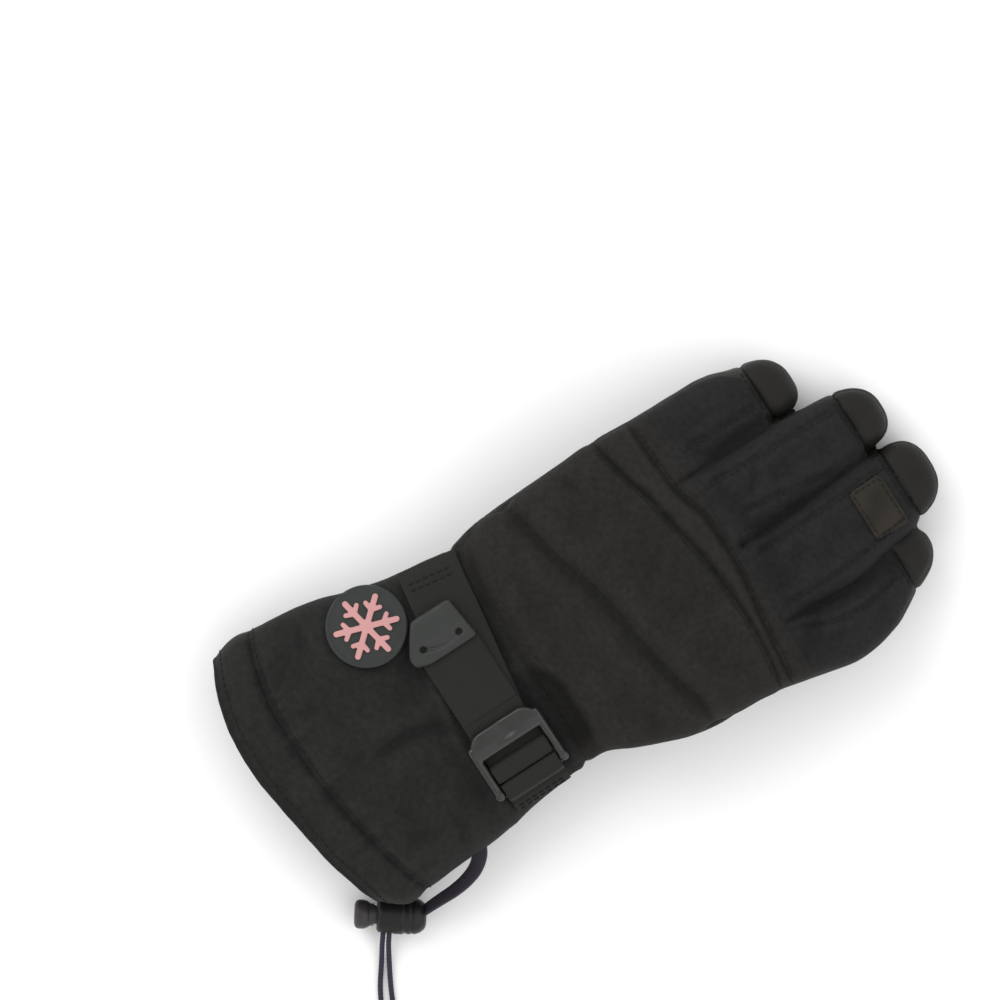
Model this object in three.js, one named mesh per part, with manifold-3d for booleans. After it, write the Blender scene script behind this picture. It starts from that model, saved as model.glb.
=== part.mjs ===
// A padded ski glove for a left hand, lying palm down.
// Millimetres. +Y runs from the hem to the fingertips, +X to the thumb side, +Z up.
import * as THREE from 'three';
import { mergeVertices } from 'three/addons/utils/BufferGeometryUtils.js';
import Module from 'manifold-3d';

const wasm = await Module();
wasm.setup();

// Driving dimensions: the glove's shell
const CUFF_LENGTH = 100; // hem line to wrist seam
const CUFF_WIDTH = 126; // across the mouth
const CUFF_HEIGHT = 44; // surface to the top of the lying cuff
const HEM_BAND_WIDTH = 16; // drawcord channel round the mouth
const HEM_BOW = 13; // how far the middle of the hem sags below its corners
const HAND_LENGTH = 96; // wrist seam to finger roots
const HAND_WIDTH = 124; // across the knuckles
const HAND_HEIGHT = 60; // surface to the top of the back of the hand
const FINGER_HEIGHT = 0.9 * HAND_HEIGHT; // surface to the top of the fingers at their roots
const LITTLE_LENGTH = 57;
const RING_LENGTH = 81.5;
const MIDDLE_LENGTH = 85.5;
const INDEX_LENGTH = 68;
const CUFF_WALL = 2.6;
const HAND_WALL = 3.6;
const FINGER_WALL = 3.2;
const CLEARANCE = 0.3; // between neighbouring pieces

// Driving dimensions: the thumb, folded under the palm
const THUMB_WIDTH = 29;
const THUMB_THICKNESS = 21;
const THUMB_REACH = 64; // root bend to tip
const THUMB_TURN = 24; // degrees that it points away from the fingers, to the little finger side

// Driving dimensions: rib and patch
const RIB_HEIGHT = 2.4;
const PATCH_WIDTH = 22;
const PATCH_LENGTH = 15;
const PATCH_THICKNESS = 0.9;

// Driving dimensions: wrist closure
const WEBBING_WIDTH = 25.4;
const WEBBING_THICKNESS = 1.4;
const STRAP_SLANT = -9; // degrees in plan, from the little finger side
const LOCK_LENGTH = 28;
const LOCK_RAIL = 3.4;
const LOCK_HEIGHT = 5.2;
const TAB_LENGTH = 19;
const TAB_THICKNESS = 3.6;
const TAB_TURN = 4; // degrees in plan

// Driving dimensions: badge
const BADGE_RADIUS = 16.5;
const BADGE_THICKNESS = 1.8;
const SNOWFLAKE_RADIUS = 13.6;
const SNOWFLAKE_ARM = 2.4;
const SNOWFLAKE_THICKNESS = 0.8;

// Driving dimensions: tape loop, drawcord and cord lock
const TAPE_WIDTH = 6.5;
const TAPE_THICKNESS = 1.3;
const STRAND_DIAMETER = 2.2;
const BARREL_DIAMETER = 15;
const BARREL_LENGTH = 20;
const BUTTON_DIAMETER = 11.8;
const BUTTON_LENGTH = 6;
const STEM_DIAMETER = 9;
const PRESS_TRAVEL = 2.5;
const CORD_END_LENGTH = 24;
const CORD_END_NECK = 6.4;
const CORD_END_DIAMETER = 12;

// Seams across the glove
const WRIST_Y = CUFF_LENGTH;
const ROOT_Y = WRIST_Y + HAND_LENGTH;

// Lofting counts
const BODY_SIDES = 30;
const FINGER_SIDES = 18;
const DOME_STEPS = 4;
const STRAND_SIDES = 8;
const ROUND_SIDES = 24;

// Cuff sections: along is a share of the cuff's length, left and right of its width,
// low and high of its height
const CUFF_ROWS = [
  { along: 0.0, left: -0.468, right: 0.46, low: -0.02, high: 0.88 },
  { along: 0.08, left: -0.486, right: 0.502, low: -0.02, high: 0.95 },
  { along: 0.16, left: -0.488, right: 0.518, low: -0.02, high: 1.0 },
  { along: 0.3, left: -0.476, right: 0.51, low: -0.02, high: 1.04 },
  { along: 0.47, left: -0.448, right: 0.5, low: -0.02, high: 1.04 },
  { along: 0.62, left: -0.412, right: 0.484, low: -0.015, high: 0.99 },
  { along: 0.75, left: -0.385, right: 0.472, low: 0.01, high: 0.95 },
  { along: 0.88, left: -0.368, right: 0.462, low: 0.08, high: 0.95 },
];

// Hand sections: shares of the hand's length, width and height
const HAND_ROWS = [
  { along: 0.0, left: -0.363, right: 0.46, low: 0.15, high: 0.74 },
  { along: 0.1, left: -0.379, right: 0.458, low: 0.24, high: 0.84 },
  { along: 0.21, left: -0.387, right: 0.5, low: 0.33, high: 0.93 },
  { along: 0.32, left: -0.395, right: 0.535, low: 0.37, high: 0.97 },
  { along: 0.5, left: -0.4, right: 0.573, low: 0.375, high: 1.0 },
  { along: 0.68, left: -0.4, right: 0.583, low: 0.37, high: 1.0 },
  { along: 0.84, left: -0.398, right: 0.6, low: 0.35, high: 0.97 },
  { along: 1.0, left: -0.395, right: 0.625, low: 0.31, high: 0.9 },
];

// Finger sections: along is a share of the finger's length, left and right of the hand's width,
// low and high of the finger height
const FINGERS = [
  {
    name: 'little',
    length: LITTLE_LENGTH,
    tip: -0.226,
    rows: [
      { along: 0.0, left: -0.394, right: -0.1425, low: 0.37, high: 0.9 },
      { along: 0.25, left: -0.389, right: -0.1435, low: 0.26, high: 0.82 },
      { along: 0.5, left: -0.381, right: -0.1405, low: 0.14, high: 0.7 },
      { along: 0.74, left: -0.347, right: -0.134, low: 0.0, high: 0.52 },
    ],
  },
  {
    name: 'ring',
    length: RING_LENGTH,
    tip: 0.008,
    rows: [
      { along: 0.0, left: -0.1395, right: 0.1355, low: 0.33, high: 0.95 },
      { along: 0.33, left: -0.1375, right: 0.1305, low: 0.2, high: 0.86 },
      { along: 0.6, left: -0.121, right: 0.121, low: 0.08, high: 0.7 },
      { along: 0.82, left: -0.107, right: 0.107, low: -0.015, high: 0.49 },
    ],
  },
  {
    name: 'middle',
    length: MIDDLE_LENGTH,
    tip: 0.24,
    rows: [
      { along: 0.0, left: 0.1385, right: 0.418, low: 0.33, high: 0.95 },
      { along: 0.33, left: 0.1345, right: 0.4365, low: 0.2, high: 0.88 },
      { along: 0.58, left: 0.1285, right: 0.418, low: 0.09, high: 0.73 },
      { along: 0.82, left: 0.129, right: 0.377, low: -0.015, high: 0.5 },
    ],
  },
  {
    name: 'index',
    length: INDEX_LENGTH,
    tip: 0.452,
    rows: [
      { along: 0.0, left: 0.421, right: 0.624, low: 0.34, high: 0.88 },
      { along: 0.3, left: 0.438, right: 0.655, low: 0.23, high: 0.84 },
      { along: 0.55, left: 0.445, right: 0.637, low: 0.12, high: 0.7 },
      { along: 0.78, left: 0.424, right: 0.569, low: 0.0, high: 0.5 },
    ],
  },
];

// Folds pressed into the upper side: ends in shares of the hand's width and of the shell's length
// to the finger roots, breadth and depth in shares of the hand's width
const FOLDS = [
  { fromX: -0.42, fromY: 0.65, toX: 0.1, toY: 0.725, breadth: 0.045, depth: 0.028 },
  { fromX: 0.1, fromY: 0.725, toX: 0.6, toY: 0.765, breadth: 0.045, depth: 0.028 },
  { fromX: 0.1, fromY: 0.54, toX: 0.42, toY: 0.54, breadth: 0.06, depth: 0.04 },
  { fromX: -0.42, fromY: 0.53, toX: 0.1, toY: 0.515, breadth: 0.05, depth: 0.03 },
  { fromX: 0.06, fromY: 0.16, toX: 0.08, toY: 0.29, breadth: 0.05, depth: 0.026 },
  { fromX: 0.08, fromY: 0.29, toX: 0.2, toY: 0.34, breadth: 0.05, depth: 0.02 },
];

// Edges of the knuckle rib: across in shares of the hand's width, near and far in shares of its length
const RIB_EDGES = [
  { across: -0.42, near: 0.74, far: 0.9 },
  { across: -0.16, near: 0.79, far: 0.93 },
  { across: 0.0, near: 0.84, far: 0.97 },
  { across: 0.2, near: 0.875, far: 0.96 },
  { across: 0.44, near: 0.87, far: 0.925 },
  { across: 0.62, near: 0.85, far: 0.89 },
];

const material = (color, roughness, metalness = 0) =>
  new THREE.MeshStandardMaterial({ color, roughness, metalness });
const CLOTH = material(0x2d2d2b, 0.85);
const LEATHER = material(0x36322c, 0.6);
const WEBBING = material(0x363833, 0.8);
const PLASTIC = material(0x4a4c49, 0.35);
const RUBBER = material(0x2a2a28, 0.7);
const EMBLEM = material(0xe1979a, 0.55);
const CORD = material(0x3a3848, 0.8);
const LOCK_PLASTIC = material(0x4e4a49, 0.4);

const lerp = THREE.MathUtils.lerp;
const radians = THREE.MathUtils.degToRad;

// Turns a closed geometry into a solid that can be cut and joined.
function solid(geometry) {
  const bare = geometry.index ? geometry.toNonIndexed() : geometry.clone();
  bare.deleteAttribute('normal');
  bare.deleteAttribute('uv');
  const merged = mergeVertices(bare, 1e-4);
  const mesh = new wasm.Mesh({
    numProp: 3,
    vertProperties: merged.attributes.position.array,
    triVerts: new Uint32Array(merged.index.array),
  });
  return new wasm.Manifold(mesh);
}

// Turns a solid back into a named mesh.
function piece(name, body, look) {
  const mesh = body.getMesh();
  const geometry = new THREE.BufferGeometry();
  geometry.setAttribute('position', new THREE.BufferAttribute(mesh.vertProperties, 3));
  geometry.setIndex(new THREE.BufferAttribute(mesh.triVerts, 1));
  geometry.computeVertexNormals();
  const made = new THREE.Mesh(geometry, look);
  made.name = name;
  return made;
}

function box(x0, x1, y0, y1, z0, z1) {
  const geometry = new THREE.BoxGeometry(x1 - x0, y1 - y0, z1 - z0);
  geometry.translate((x0 + x1) / 2, (y0 + y1) / 2, (z0 + z1) / 2);
  return solid(geometry);
}

// Joins rings of equal count into one closed body, with a fan over each end.
function skin(rings) {
  const count = rings[0].length;
  const points = rings.flat();
  const faces = [];
  for (let i = 0; i + 1 < rings.length; i++) {
    for (let j = 0; j < count; j++) {
      const a = i * count + j;
      const b = i * count + ((j + 1) % count);
      faces.push(a, a + count, b, b, a + count, b + count);
    }
  }
  const fan = (ring, first, flipped) => {
    const middle = new THREE.Vector3();
    ring.forEach((p) => middle.addScaledVector(p, 1 / count));
    const hub = points.push(middle) - 1;
    for (let j = 0; j < count; j++) {
      const a = first + j;
      const b = first + ((j + 1) % count);
      faces.push(...(flipped ? [hub, b, a] : [hub, a, b]));
    }
  };
  fan(rings[0], 0, false);
  fan(rings.at(-1), (rings.length - 1) * count, true);
  const geometry = new THREE.BufferGeometry().setFromPoints(points);
  geometry.setIndex(faces);
  return solid(geometry);
}

// One rounded section, squarer below than above, as angles and reach from its middle.
const UPPER_ROUNDNESS = 2.7;
const LOWER_ROUNDNESS = 3.6;
function outline(sides, halfWidth, halfHeight) {
  return Array.from({ length: sides }, (_, i) => {
    const angle = (2 * Math.PI * i) / sides;
    const power = 2 / (angle < Math.PI ? UPPER_ROUNDNESS : LOWER_ROUNDNESS);
    const part = (v) => Math.sign(v) * Math.abs(v) ** power;
    return [halfWidth * part(Math.cos(angle)), halfHeight * part(Math.sin(angle))];
  });
}

// Smooth value of a column between the rows of a table that is ordered by y.
function columnAt(rows, key, y) {
  const last = rows.length - 1;
  let i = rows.findIndex((row) => row.y > y) - 1;
  if (i === -2) i = last - 1;
  i = THREE.MathUtils.clamp(i, 0, last - 1);
  const [a, b] = [rows[i], rows[i + 1]];
  const before = rows[Math.max(i - 1, 0)];
  const after = rows[Math.min(i + 2, last)];
  const span = b.y - a.y;
  const t = (y - a.y) / span;
  const slopeA = ((b[key] - before[key]) / (b.y - before.y)) * span;
  const slopeB = ((after[key] - a[key]) / (after.y - a.y)) * span;
  const t2 = t * t;
  const t3 = t2 * t;
  const start = (2 * t3 - 3 * t2 + 1) * a[key] + (t3 - 2 * t2 + t) * slopeA;
  return start + (-2 * t3 + 3 * t2) * b[key] + (t3 - t2) * slopeB;
}

// Tables turned into millimetres.
const sized = (rows, start, length, width, height) =>
  rows.map((row) => ({
    y: start + row.along * length,
    left: row.left * width,
    right: row.right * width,
    low: row.low * height,
    high: row.high * height,
  }));
const SHELL = [
  ...sized(CUFF_ROWS, 0, CUFF_LENGTH, CUFF_WIDTH, CUFF_HEIGHT),
  ...sized(HAND_ROWS, WRIST_Y, HAND_LENGTH, HAND_WIDTH, HAND_HEIGHT),
];
const fingerTable = (finger) =>
  sized(finger.rows, ROOT_Y, finger.length, HAND_WIDTH, FINGER_HEIGHT);

// Half sizes and middle of a table's section at y, grown outwards by a wall or a gap.
function sectionAt(rows, y, grow) {
  const [left, right] = ['left', 'right'].map((key) => columnAt(rows, key, y));
  const [low, high] = ['low', 'high'].map((key) => columnAt(rows, key, y));
  return {
    x: (left + right) / 2,
    z: (low + high) / 2,
    halfWidth: (right - left) / 2 + grow,
    halfHeight: (high - low) / 2 + grow,
  };
}

// The hem's middle sags towards the wearer, more steeply on the little finger side.
const HEM_LOW_X = -0.16 * CUFF_WIDTH;
const HEM_LEFT = { edge: -0.47 * CUFF_WIDTH, rise: 0.8 * HEM_BOW };
const HEM_RIGHT = { edge: 0.62 * CUFF_WIDTH, rise: 1.6 * HEM_BOW };
function hemShift(x, y) {
  const { edge, rise } = x < HEM_LOW_X ? HEM_LEFT : HEM_RIGHT;
  const share = (x - HEM_LOW_X) / (edge - HEM_LOW_X);
  return (rise * share ** 2 - HEM_BOW) * Math.max(0, 1 - y / WRIST_Y);
}

// How deep the folds press the upper side at a place.
function foldDepth(x, y) {
  let depth = 0;
  for (const fold of FOLDS) {
    const from = new THREE.Vector2(fold.fromX * HAND_WIDTH, fold.fromY * ROOT_Y);
    const along = new THREE.Vector2(fold.toX * HAND_WIDTH, fold.toY * ROOT_Y).sub(from);
    const off = new THREE.Vector2(x, y).sub(from);
    const t = THREE.MathUtils.clamp(off.dot(along) / along.lengthSq(), 0, 1);
    const away = off.addScaledVector(along, -t).length() / (fold.breadth * HAND_WIDTH);
    depth = Math.max(depth, fold.depth * HAND_WIDTH * Math.exp(-away * away));
  }
  return depth;
}

// One ring of the shell at y, grown by a wall or a gap, flattened where it rests.
function shellRing(y, grow) {
  const section = sectionAt(SHELL, y, grow);
  return outline(BODY_SIDES, section.halfWidth, section.halfHeight).map(([u, v]) => {
    const x = section.x + u;
    const sunk = v > 0 ? foldDepth(x, y) * (v / section.halfHeight) : 0;
    const z = Math.max(section.z + v - sunk, -grow);
    return new THREE.Vector3(x, y + hemShift(x, y), z);
  });
}

const SHELL_STEPS = [0, 0.08, 0.16, 0.3, 0.42, 0.53, 0.64, 0.76, 0.88, 1].map((t) => t * CUFF_LENGTH);
const HAND_STEPS = [0.1, 0.21, 0.32, 0.43, 0.54, 0.68, 0.84, 1].map((t) => WRIST_Y + t * HAND_LENGTH);
const STATIONS = [...SHELL_STEPS, ...HAND_STEPS];

// The shell's body between two stations, grown by a wall or a gap.
function shellBody(from, to, grow) {
  const between = STATIONS.filter((y) => y > from + 1 && y < to - 1);
  return skin([from, ...between, to].map((y) => shellRing(y, grow)));
}

// A tube of the shell's form, open at both ends.
function shellTube(from, to, wall) {
  return shellBody(from, to, 0).subtract(shellBody(from - 1, to + 1, -wall));
}

// A finger's body from the root to a rounded tip, grown by a wall or a gap.
function fingerBody(finger, grow, start = ROOT_Y + CLEARANCE) {
  const rows = fingerTable(finger);
  const domeStart = rows.at(-1).y;
  const reach = ROOT_Y + finger.length - domeStart + grow;
  const stations = [start, ...[0.2, 0.4, 0.6, 0.8, 1].map((t) => lerp(ROOT_Y, domeStart, t))];
  const ring = (y, scale, slide) => {
    const section = sectionAt(rows, Math.min(y, domeStart), grow);
    const middle = lerp(section.x, finger.tip * HAND_WIDTH, slide);
    const half = outline(FINGER_SIDES, section.halfWidth * scale, section.halfHeight * scale);
    return half.map(([u, v]) => new THREE.Vector3(middle + u, y, Math.max(section.z + v, -grow)));
  };
  const rings = stations.map((y) => ring(y, 1, 0));
  for (let i = 1; i <= DOME_STEPS; i++) {
    const turn = (i / (DOME_STEPS + 0.35)) * (Math.PI / 2);
    rings.push(ring(domeStart + reach * Math.sin(turn), Math.cos(turn), Math.sin(turn)));
  }
  return skin(rings);
}

// A finger split at the edge of its leather cap.
function fingerPieces(finger) {
  const rows = fingerTable(finger);
  const capEdge = rows.at(-1).y;
  const hollow = fingerBody(finger, -FINGER_WALL, ROOT_Y - 1);
  const tube = fingerBody(finger, 0).subtract(hollow);
  const wide = HAND_WIDTH;
  const before = box(-wide, wide, 0, capEdge, -wide, wide);
  const after = box(-wide, wide, capEdge + CLEARANCE, capEdge + wide, -wide, wide);
  return [
    piece(`finger_${finger.name}`, tube.intersect(before), CLOTH),
    piece(`fingertip_cap_${finger.name}`, tube.intersect(after), LEATHER),
  ];
}

// The thumb's body: down from the palm, round a bend and along the surface.
const THUMB_ROOT = new THREE.Vector3(0.365 * HAND_WIDTH, WRIST_Y + 0.26 * HAND_LENGTH, 0);
const THUMB_BEND = THUMB_THICKNESS * 0.75;
function thumbBody(grow, top) {
  const forward = new THREE.Vector3(-Math.sin(radians(THUMB_TURN)), Math.cos(radians(THUMB_TURN)), 0);
  const across = new THREE.Vector3(forward.y, -forward.x, 0);
  const up = new THREE.Vector3(0, 0, 1);
  const lift = THUMB_THICKNESS / 2;
  const rings = [];
  const ring = (ahead, height, lean, scale) => {
    const normal = forward.clone().multiplyScalar(Math.sin(lean)).addScaledVector(up, Math.cos(lean));
    const middle = THUMB_ROOT.clone().addScaledVector(forward, ahead).setZ(height);
    const half = outline(FINGER_SIDES, (THUMB_WIDTH / 2 + grow) * scale, (lift + grow) * scale);
    rings.push(half.map(([u, v]) =>
      middle.clone().addScaledVector(across, u).addScaledVector(normal, v)));
  };
  ring(0, top, Math.PI / 2, 1);
  for (const turn of [0, 30, 60, 90].map(radians)) {
    const ahead = THUMB_BEND * (1 - Math.cos(turn));
    const height = lift + THUMB_BEND * (1 - Math.sin(turn));
    ring(ahead, height, Math.PI / 2 - turn, 1);
  }
  const straight = THUMB_REACH - THUMB_WIDTH / 2;
  for (const share of [0.35, 0.7, 1]) ring(THUMB_BEND + (straight - THUMB_BEND) * share, lift, 0, 1);
  const dome = THUMB_WIDTH / 2 + grow;
  for (let i = 1; i <= DOME_STEPS; i++) {
    const turn = (i / (DOME_STEPS + 0.35)) * (Math.PI / 2);
    ring(straight + dome * Math.sin(turn), lift, 0, Math.cos(turn));
  }
  return skin(rings);
}

// The hand's tube, split into back and palm along the side seam, with the thumb set into the palm.
const SIDE_SEAM_Z = 0.66 * HAND_HEIGHT;
const WRIST_SEAM_Z = 0.5 * HAND_HEIGHT;
const THUMB_DROP = 4; // thumb's open top below the side seam
function handPieces() {
  const from = WRIST_Y + CLEARANCE;
  const tube = shellTube(from, ROOT_Y, HAND_WALL);
  const hollow = shellBody(from - 1, ROOT_Y + 1, -HAND_WALL);
  const wide = HAND_WIDTH;
  const seam = (lift, above) => {
    const shape = new THREE.Shape();
    const far = above ? wide : -wide;
    shape.moveTo(-wide, far);
    shape.lineTo(-wide, WRIST_SEAM_Z + lift);
    shape.lineTo(WRIST_Y, WRIST_SEAM_Z + lift);
    shape.lineTo(WRIST_Y + 0.3 * HAND_LENGTH, SIDE_SEAM_Z + lift);
    shape.lineTo(ROOT_Y + wide, SIDE_SEAM_Z + lift);
    shape.lineTo(ROOT_Y + wide, far);
    const slab = new THREE.ExtrudeGeometry(shape, { depth: 2 * wide, bevelEnabled: false });
    slab.translate(0, 0, -wide);
    slab.rotateX(Math.PI / 2);
    slab.rotateZ(Math.PI / 2);
    return solid(slab);
  };
  const top = SIDE_SEAM_Z - THUMB_DROP;
  const thumbHole = thumbBody(CLEARANCE, SIDE_SEAM_Z);
  const thumbWhole = thumbBody(0, top).subtract(thumbBody(-FINGER_WALL, top + 1));
  return [
    piece('hand_back', tube.intersect(seam(CLEARANCE / 2, true)), CLOTH),
    piece('palm', tube.intersect(seam(-CLEARANCE / 2, false)).subtract(thumbHole), LEATHER),
    piece('thumb', thumbWhole.subtract(hollow), LEATHER),
  ];
}

function cuffPieces() {
  const edge = HEM_BAND_WIDTH;
  return [
    piece('gauntlet_cuff', shellTube(edge + CLEARANCE, WRIST_Y, CUFF_WALL), CLOTH),
    piece('hem_band', shellTube(0, edge, CUFF_WALL), CLOTH),
  ];
}

// A thin layer on the shell's upper side, inside a plan outline.
function overlay(body, inner, outer, plan) {
  return body(outer).subtract(body(inner)).intersect(plan);
}

function prism(points, bottom, top) {
  const shape = new THREE.Shape(points.map(([x, y]) => new THREE.Vector2(x, y)));
  const geometry = new THREE.ExtrudeGeometry(shape, { depth: top - bottom, bevelEnabled: false });
  geometry.translate(0, 0, bottom);
  return solid(geometry);
}

function knuckleRib() {
  const place = (across, along) => [across * HAND_WIDTH, WRIST_Y + along * HAND_LENGTH];
  const near = RIB_EDGES.map((row) => place(row.across, row.near));
  const far = RIB_EDGES.map((row) => place(row.across, row.far)).reverse();
  const plan = prism([...near, ...far], SIDE_SEAM_Z, 2 * HAND_HEIGHT);
  const body = (grow) => shellBody(WRIST_Y + 0.6 * HAND_LENGTH, ROOT_Y, grow);
  return piece('knuckle_rib', overlay(body, CLEARANCE, RIB_HEIGHT, plan), CLOTH);
}

function wipingPatch() {
  const middle = FINGERS.find((finger) => finger.name === 'middle');
  const x = 0.278 * HAND_WIDTH;
  const y = ROOT_Y + 0.665 * MIDDLE_LENGTH;
  const [w, l] = [PATCH_WIDTH / 2, PATCH_LENGTH / 2];
  const plan = box(x - w, x + w, y - l, y + l, 0.3 * FINGER_HEIGHT, 2 * FINGER_HEIGHT);
  const body = (grow) => fingerBody(middle, grow);
  const layer = overlay(body, CLEARANCE, CLEARANCE + PATCH_THICKNESS, plan);
  return piece('middle_finger_patch', layer, LEATHER);
}

// Height of the shell's upper side at a place, found on the section that the sagging hem moves there.
function topAt(x, place) {
  const sag = hemShift(x, 0);
  const y = place < WRIST_Y ? (place - sag) / (1 - sag / WRIST_Y) : place;
  const section = sectionAt(SHELL, y, 0);
  const share = Math.min(Math.abs((x - section.x) / section.halfWidth), 0.999);
  const rise = (1 - share ** UPPER_ROUNDNESS) ** (1 / UPPER_ROUNDNESS);
  return section.z + section.halfHeight * rise - foldDepth(x, y) * rise;
}

// Height that webbing takes ahead of the buckle's lip, where the shell is highest under its width.
function webbingBed(ahead, slant) {
  const [c, s] = [Math.cos(slant), Math.sin(slant)];
  const heights = [-0.5, -0.25, 0, 0.25, 0.5].map((t) => {
    const side = t * WEBBING_WIDTH;
    return topAt(LOCK_X + ahead * c - side * s, LOCK_Y + ahead * s + side * c);
  });
  return Math.max(...heights) + CLEARANCE + BED_SLACK;
}

// A band that follows a path in the x-z plane, centred on y = 0.
function band(path, width, thickness) {
  const points = path.map(([x, z]) => new THREE.Vector2(x, z));
  const side = (amount) =>
    points.map((p, i) => {
      const before = points[Math.max(i - 1, 0)];
      const after = points[Math.min(i + 1, points.length - 1)];
      const way = after.clone().sub(before).normalize();
      return new THREE.Vector2(p.x - way.y * amount, p.y + way.x * amount);
    });
  const shape = new THREE.Shape([...side(-thickness / 2), ...side(thickness / 2).reverse()]);
  const geometry = new THREE.ExtrudeGeometry(shape, { depth: width, bevelEnabled: false });
  geometry.translate(0, 0, -width / 2);
  geometry.rotateX(Math.PI / 2);
  return geometry;
}

// Buckle place: the middle of its lip end, on the webbing's bed, tilted with the shell.
const LOCK_X = 0.1742 * CUFF_WIDTH;
const LOCK_Y = 0.79 * CUFF_LENGTH;
const BED_SLACK = 0.7; // webbing bridges the hollows between the shell's facets
const SLANT = radians(STRAP_SLANT);
const LOCK_BED = webbingBed(0, 0);
const LOCK_FALL = LOCK_BED - webbingBed(LOCK_LENGTH, 0);
const LOCK_TILT = Math.atan2(LOCK_FALL * 0.8, LOCK_LENGTH);
const LAYER = WEBBING_THICKNESS + CLEARANCE;
const STRAP_LIFT = 0.6 * LAYER;
const TAIL_LIFT = 1.6 * LAYER;

// Buckle stations from its lip end, in shares of its length
const LIP_END = 0.34 * LOCK_LENGTH;
const BAR_START = 0.57 * LOCK_LENGTH;
const BAR_END = 0.7 * LOCK_LENGTH;
const REAR_START = 0.9 * LOCK_LENGTH;
const LOCK_BASE = LAYER + 0.1;
const LOCK_TOP = LOCK_BASE + LOCK_HEIGHT;
const BAR_RECESS = 1.3;
const REAR_RECESS = 1.5;

// Stations of the strap, its free end and the anchor's seam, ahead of the buckle's lip,
// in shares of the cuff's width
const STRAP_STATIONS = [-0.5433, -0.5314, -0.507, -0.4625, -0.394, -0.295, -0.177, -0.079];
const TAIL_STATIONS = [-0.049, -0.098, -0.157, -0.207, -0.248];
const SEAM_STATION = 0.2825;

// Height that the free end and its tab take: above the shell and above the strap below them.
const tailBed = (ahead) => Math.max(webbingBed(ahead, 0), webbingBed(ahead, SLANT));

// Puts a geometry made round the buckle's own origin where the buckle lies.
function onLock(geometry) {
  geometry.rotateY(LOCK_TILT);
  geometry.translate(LOCK_X, LOCK_Y, LOCK_BED + STRAP_LIFT);
  return solid(geometry);
}

function ladderLock() {
  const half = WEBBING_WIDTH / 2 + 2 * CLEARANCE;
  const outer = half + LOCK_RAIL;
  const [low, high] = [LOCK_BASE, LOCK_TOP];
  const corner = 0.2 * LOCK_LENGTH;
  const slab = (x0, x1, y0, y1, z0, z1) => {
    const made = new THREE.BoxGeometry(x1 - x0, y1 - y0, z1 - z0);
    made.translate((x0 + x1) / 2, (y0 + y1) / 2, (z0 + z1) / 2);
    return onLock(made);
  };
  const plan = new THREE.Shape();
  plan.moveTo(corner, -outer);
  plan.lineTo(LOCK_LENGTH, -outer);
  plan.lineTo(LOCK_LENGTH, outer);
  plan.lineTo(corner, outer);
  plan.quadraticCurveTo(0.02 * corner, outer, 0, outer - 1.1 * corner);
  plan.lineTo(0, -outer + 1.1 * corner);
  plan.quadraticCurveTo(0.02 * corner, -outer, corner, -outer);
  const frame = new THREE.ExtrudeGeometry(plan, {
    depth: high - low,
    bevelEnabled: false,
    curveSegments: 4,
  });
  frame.translate(0, 0, low);
  const lipFloor = 2 * LAYER + 0.1;
  let body = onLock(frame);
  body = body.subtract(slab(LIP_END, BAR_START, -half, half, 0, 2 * high));
  body = body.subtract(slab(BAR_END, REAR_START, -half, half, 0, 2 * high));
  body = body.subtract(slab(-1, LIP_END + 1, -half, half, 0, lipFloor));
  body = body.subtract(slab(BAR_START - 1, BAR_END + 1, -half, half, high - BAR_RECESS, 2 * high));
  body = body.subtract(slab(REAR_START - 1, LOCK_LENGTH + 1, -half, half, high - REAR_RECESS, 2 * high));
  body = body.subtract(slab(REAR_START - 1, LOCK_LENGTH + 1, -half, half, 0, low + BAR_RECESS));
  return piece('ladder_lock', body, PLASTIC);
}

// Strap: one webbing that runs under the buckle, up through its rear slot, over the middle bar
// and back out under the lip.
function wristStrap() {
  const half = WEBBING_THICKNESS / 2;
  const lifted = STRAP_LIFT + half;
  const underLock = (ahead) => [ahead, LOCK_BED + lifted - ahead * Math.tan(LOCK_TILT)];
  const bed = STRAP_STATIONS.map((share) => {
    const ahead = share * CUFF_WIDTH;
    return [ahead, webbingBed(ahead, SLANT) + half];
  });
  const base = band([...bed, underLock(-1), underLock(BAR_START)], WEBBING_WIDTH, WEBBING_THICKNESS);
  base.rotateZ(SLANT);
  base.translate(LOCK_X, LOCK_Y, 0);
  const clear = CLEARANCE + half;
  const overBar = LOCK_TOP - BAR_RECESS + clear;
  const climb = BAR_END + clear + 0.5;
  const threaded = band(
    [
      [BAR_START - 3, half],
      [BAR_END + 0.4, half],
      [climb, half + 1.3],
      [climb, overBar - 0.8],
      [climb - 0.9, overBar],
      [BAR_START - 0.5, overBar],
      [BAR_START - 1.6, overBar - 1.2],
      [LIP_END + 1.2, LAYER + half + 0.3],
      [LIP_END - 1.0, LAYER + half],
      [0, LAYER + half],
      [-4, LAYER + half],
    ],
    WEBBING_WIDTH,
    WEBBING_THICKNESS,
  );
  const start = [-3, LOCK_BED + lifted + LAYER + 3 * Math.tan(LOCK_TILT)];
  const free = TAIL_STATIONS.map((share) => {
    const ahead = share * CUFF_WIDTH;
    return [ahead, tailBed(ahead) + half + TAIL_LIFT];
  });
  const tail = band([start, ...free], WEBBING_WIDTH, WEBBING_THICKNESS);
  tail.translate(LOCK_X, LOCK_Y, 0);
  const whole = solid(base).add(onLock(threaded)).add(solid(tail));
  return piece('wrist_strap', whole, WEBBING);
}

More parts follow.
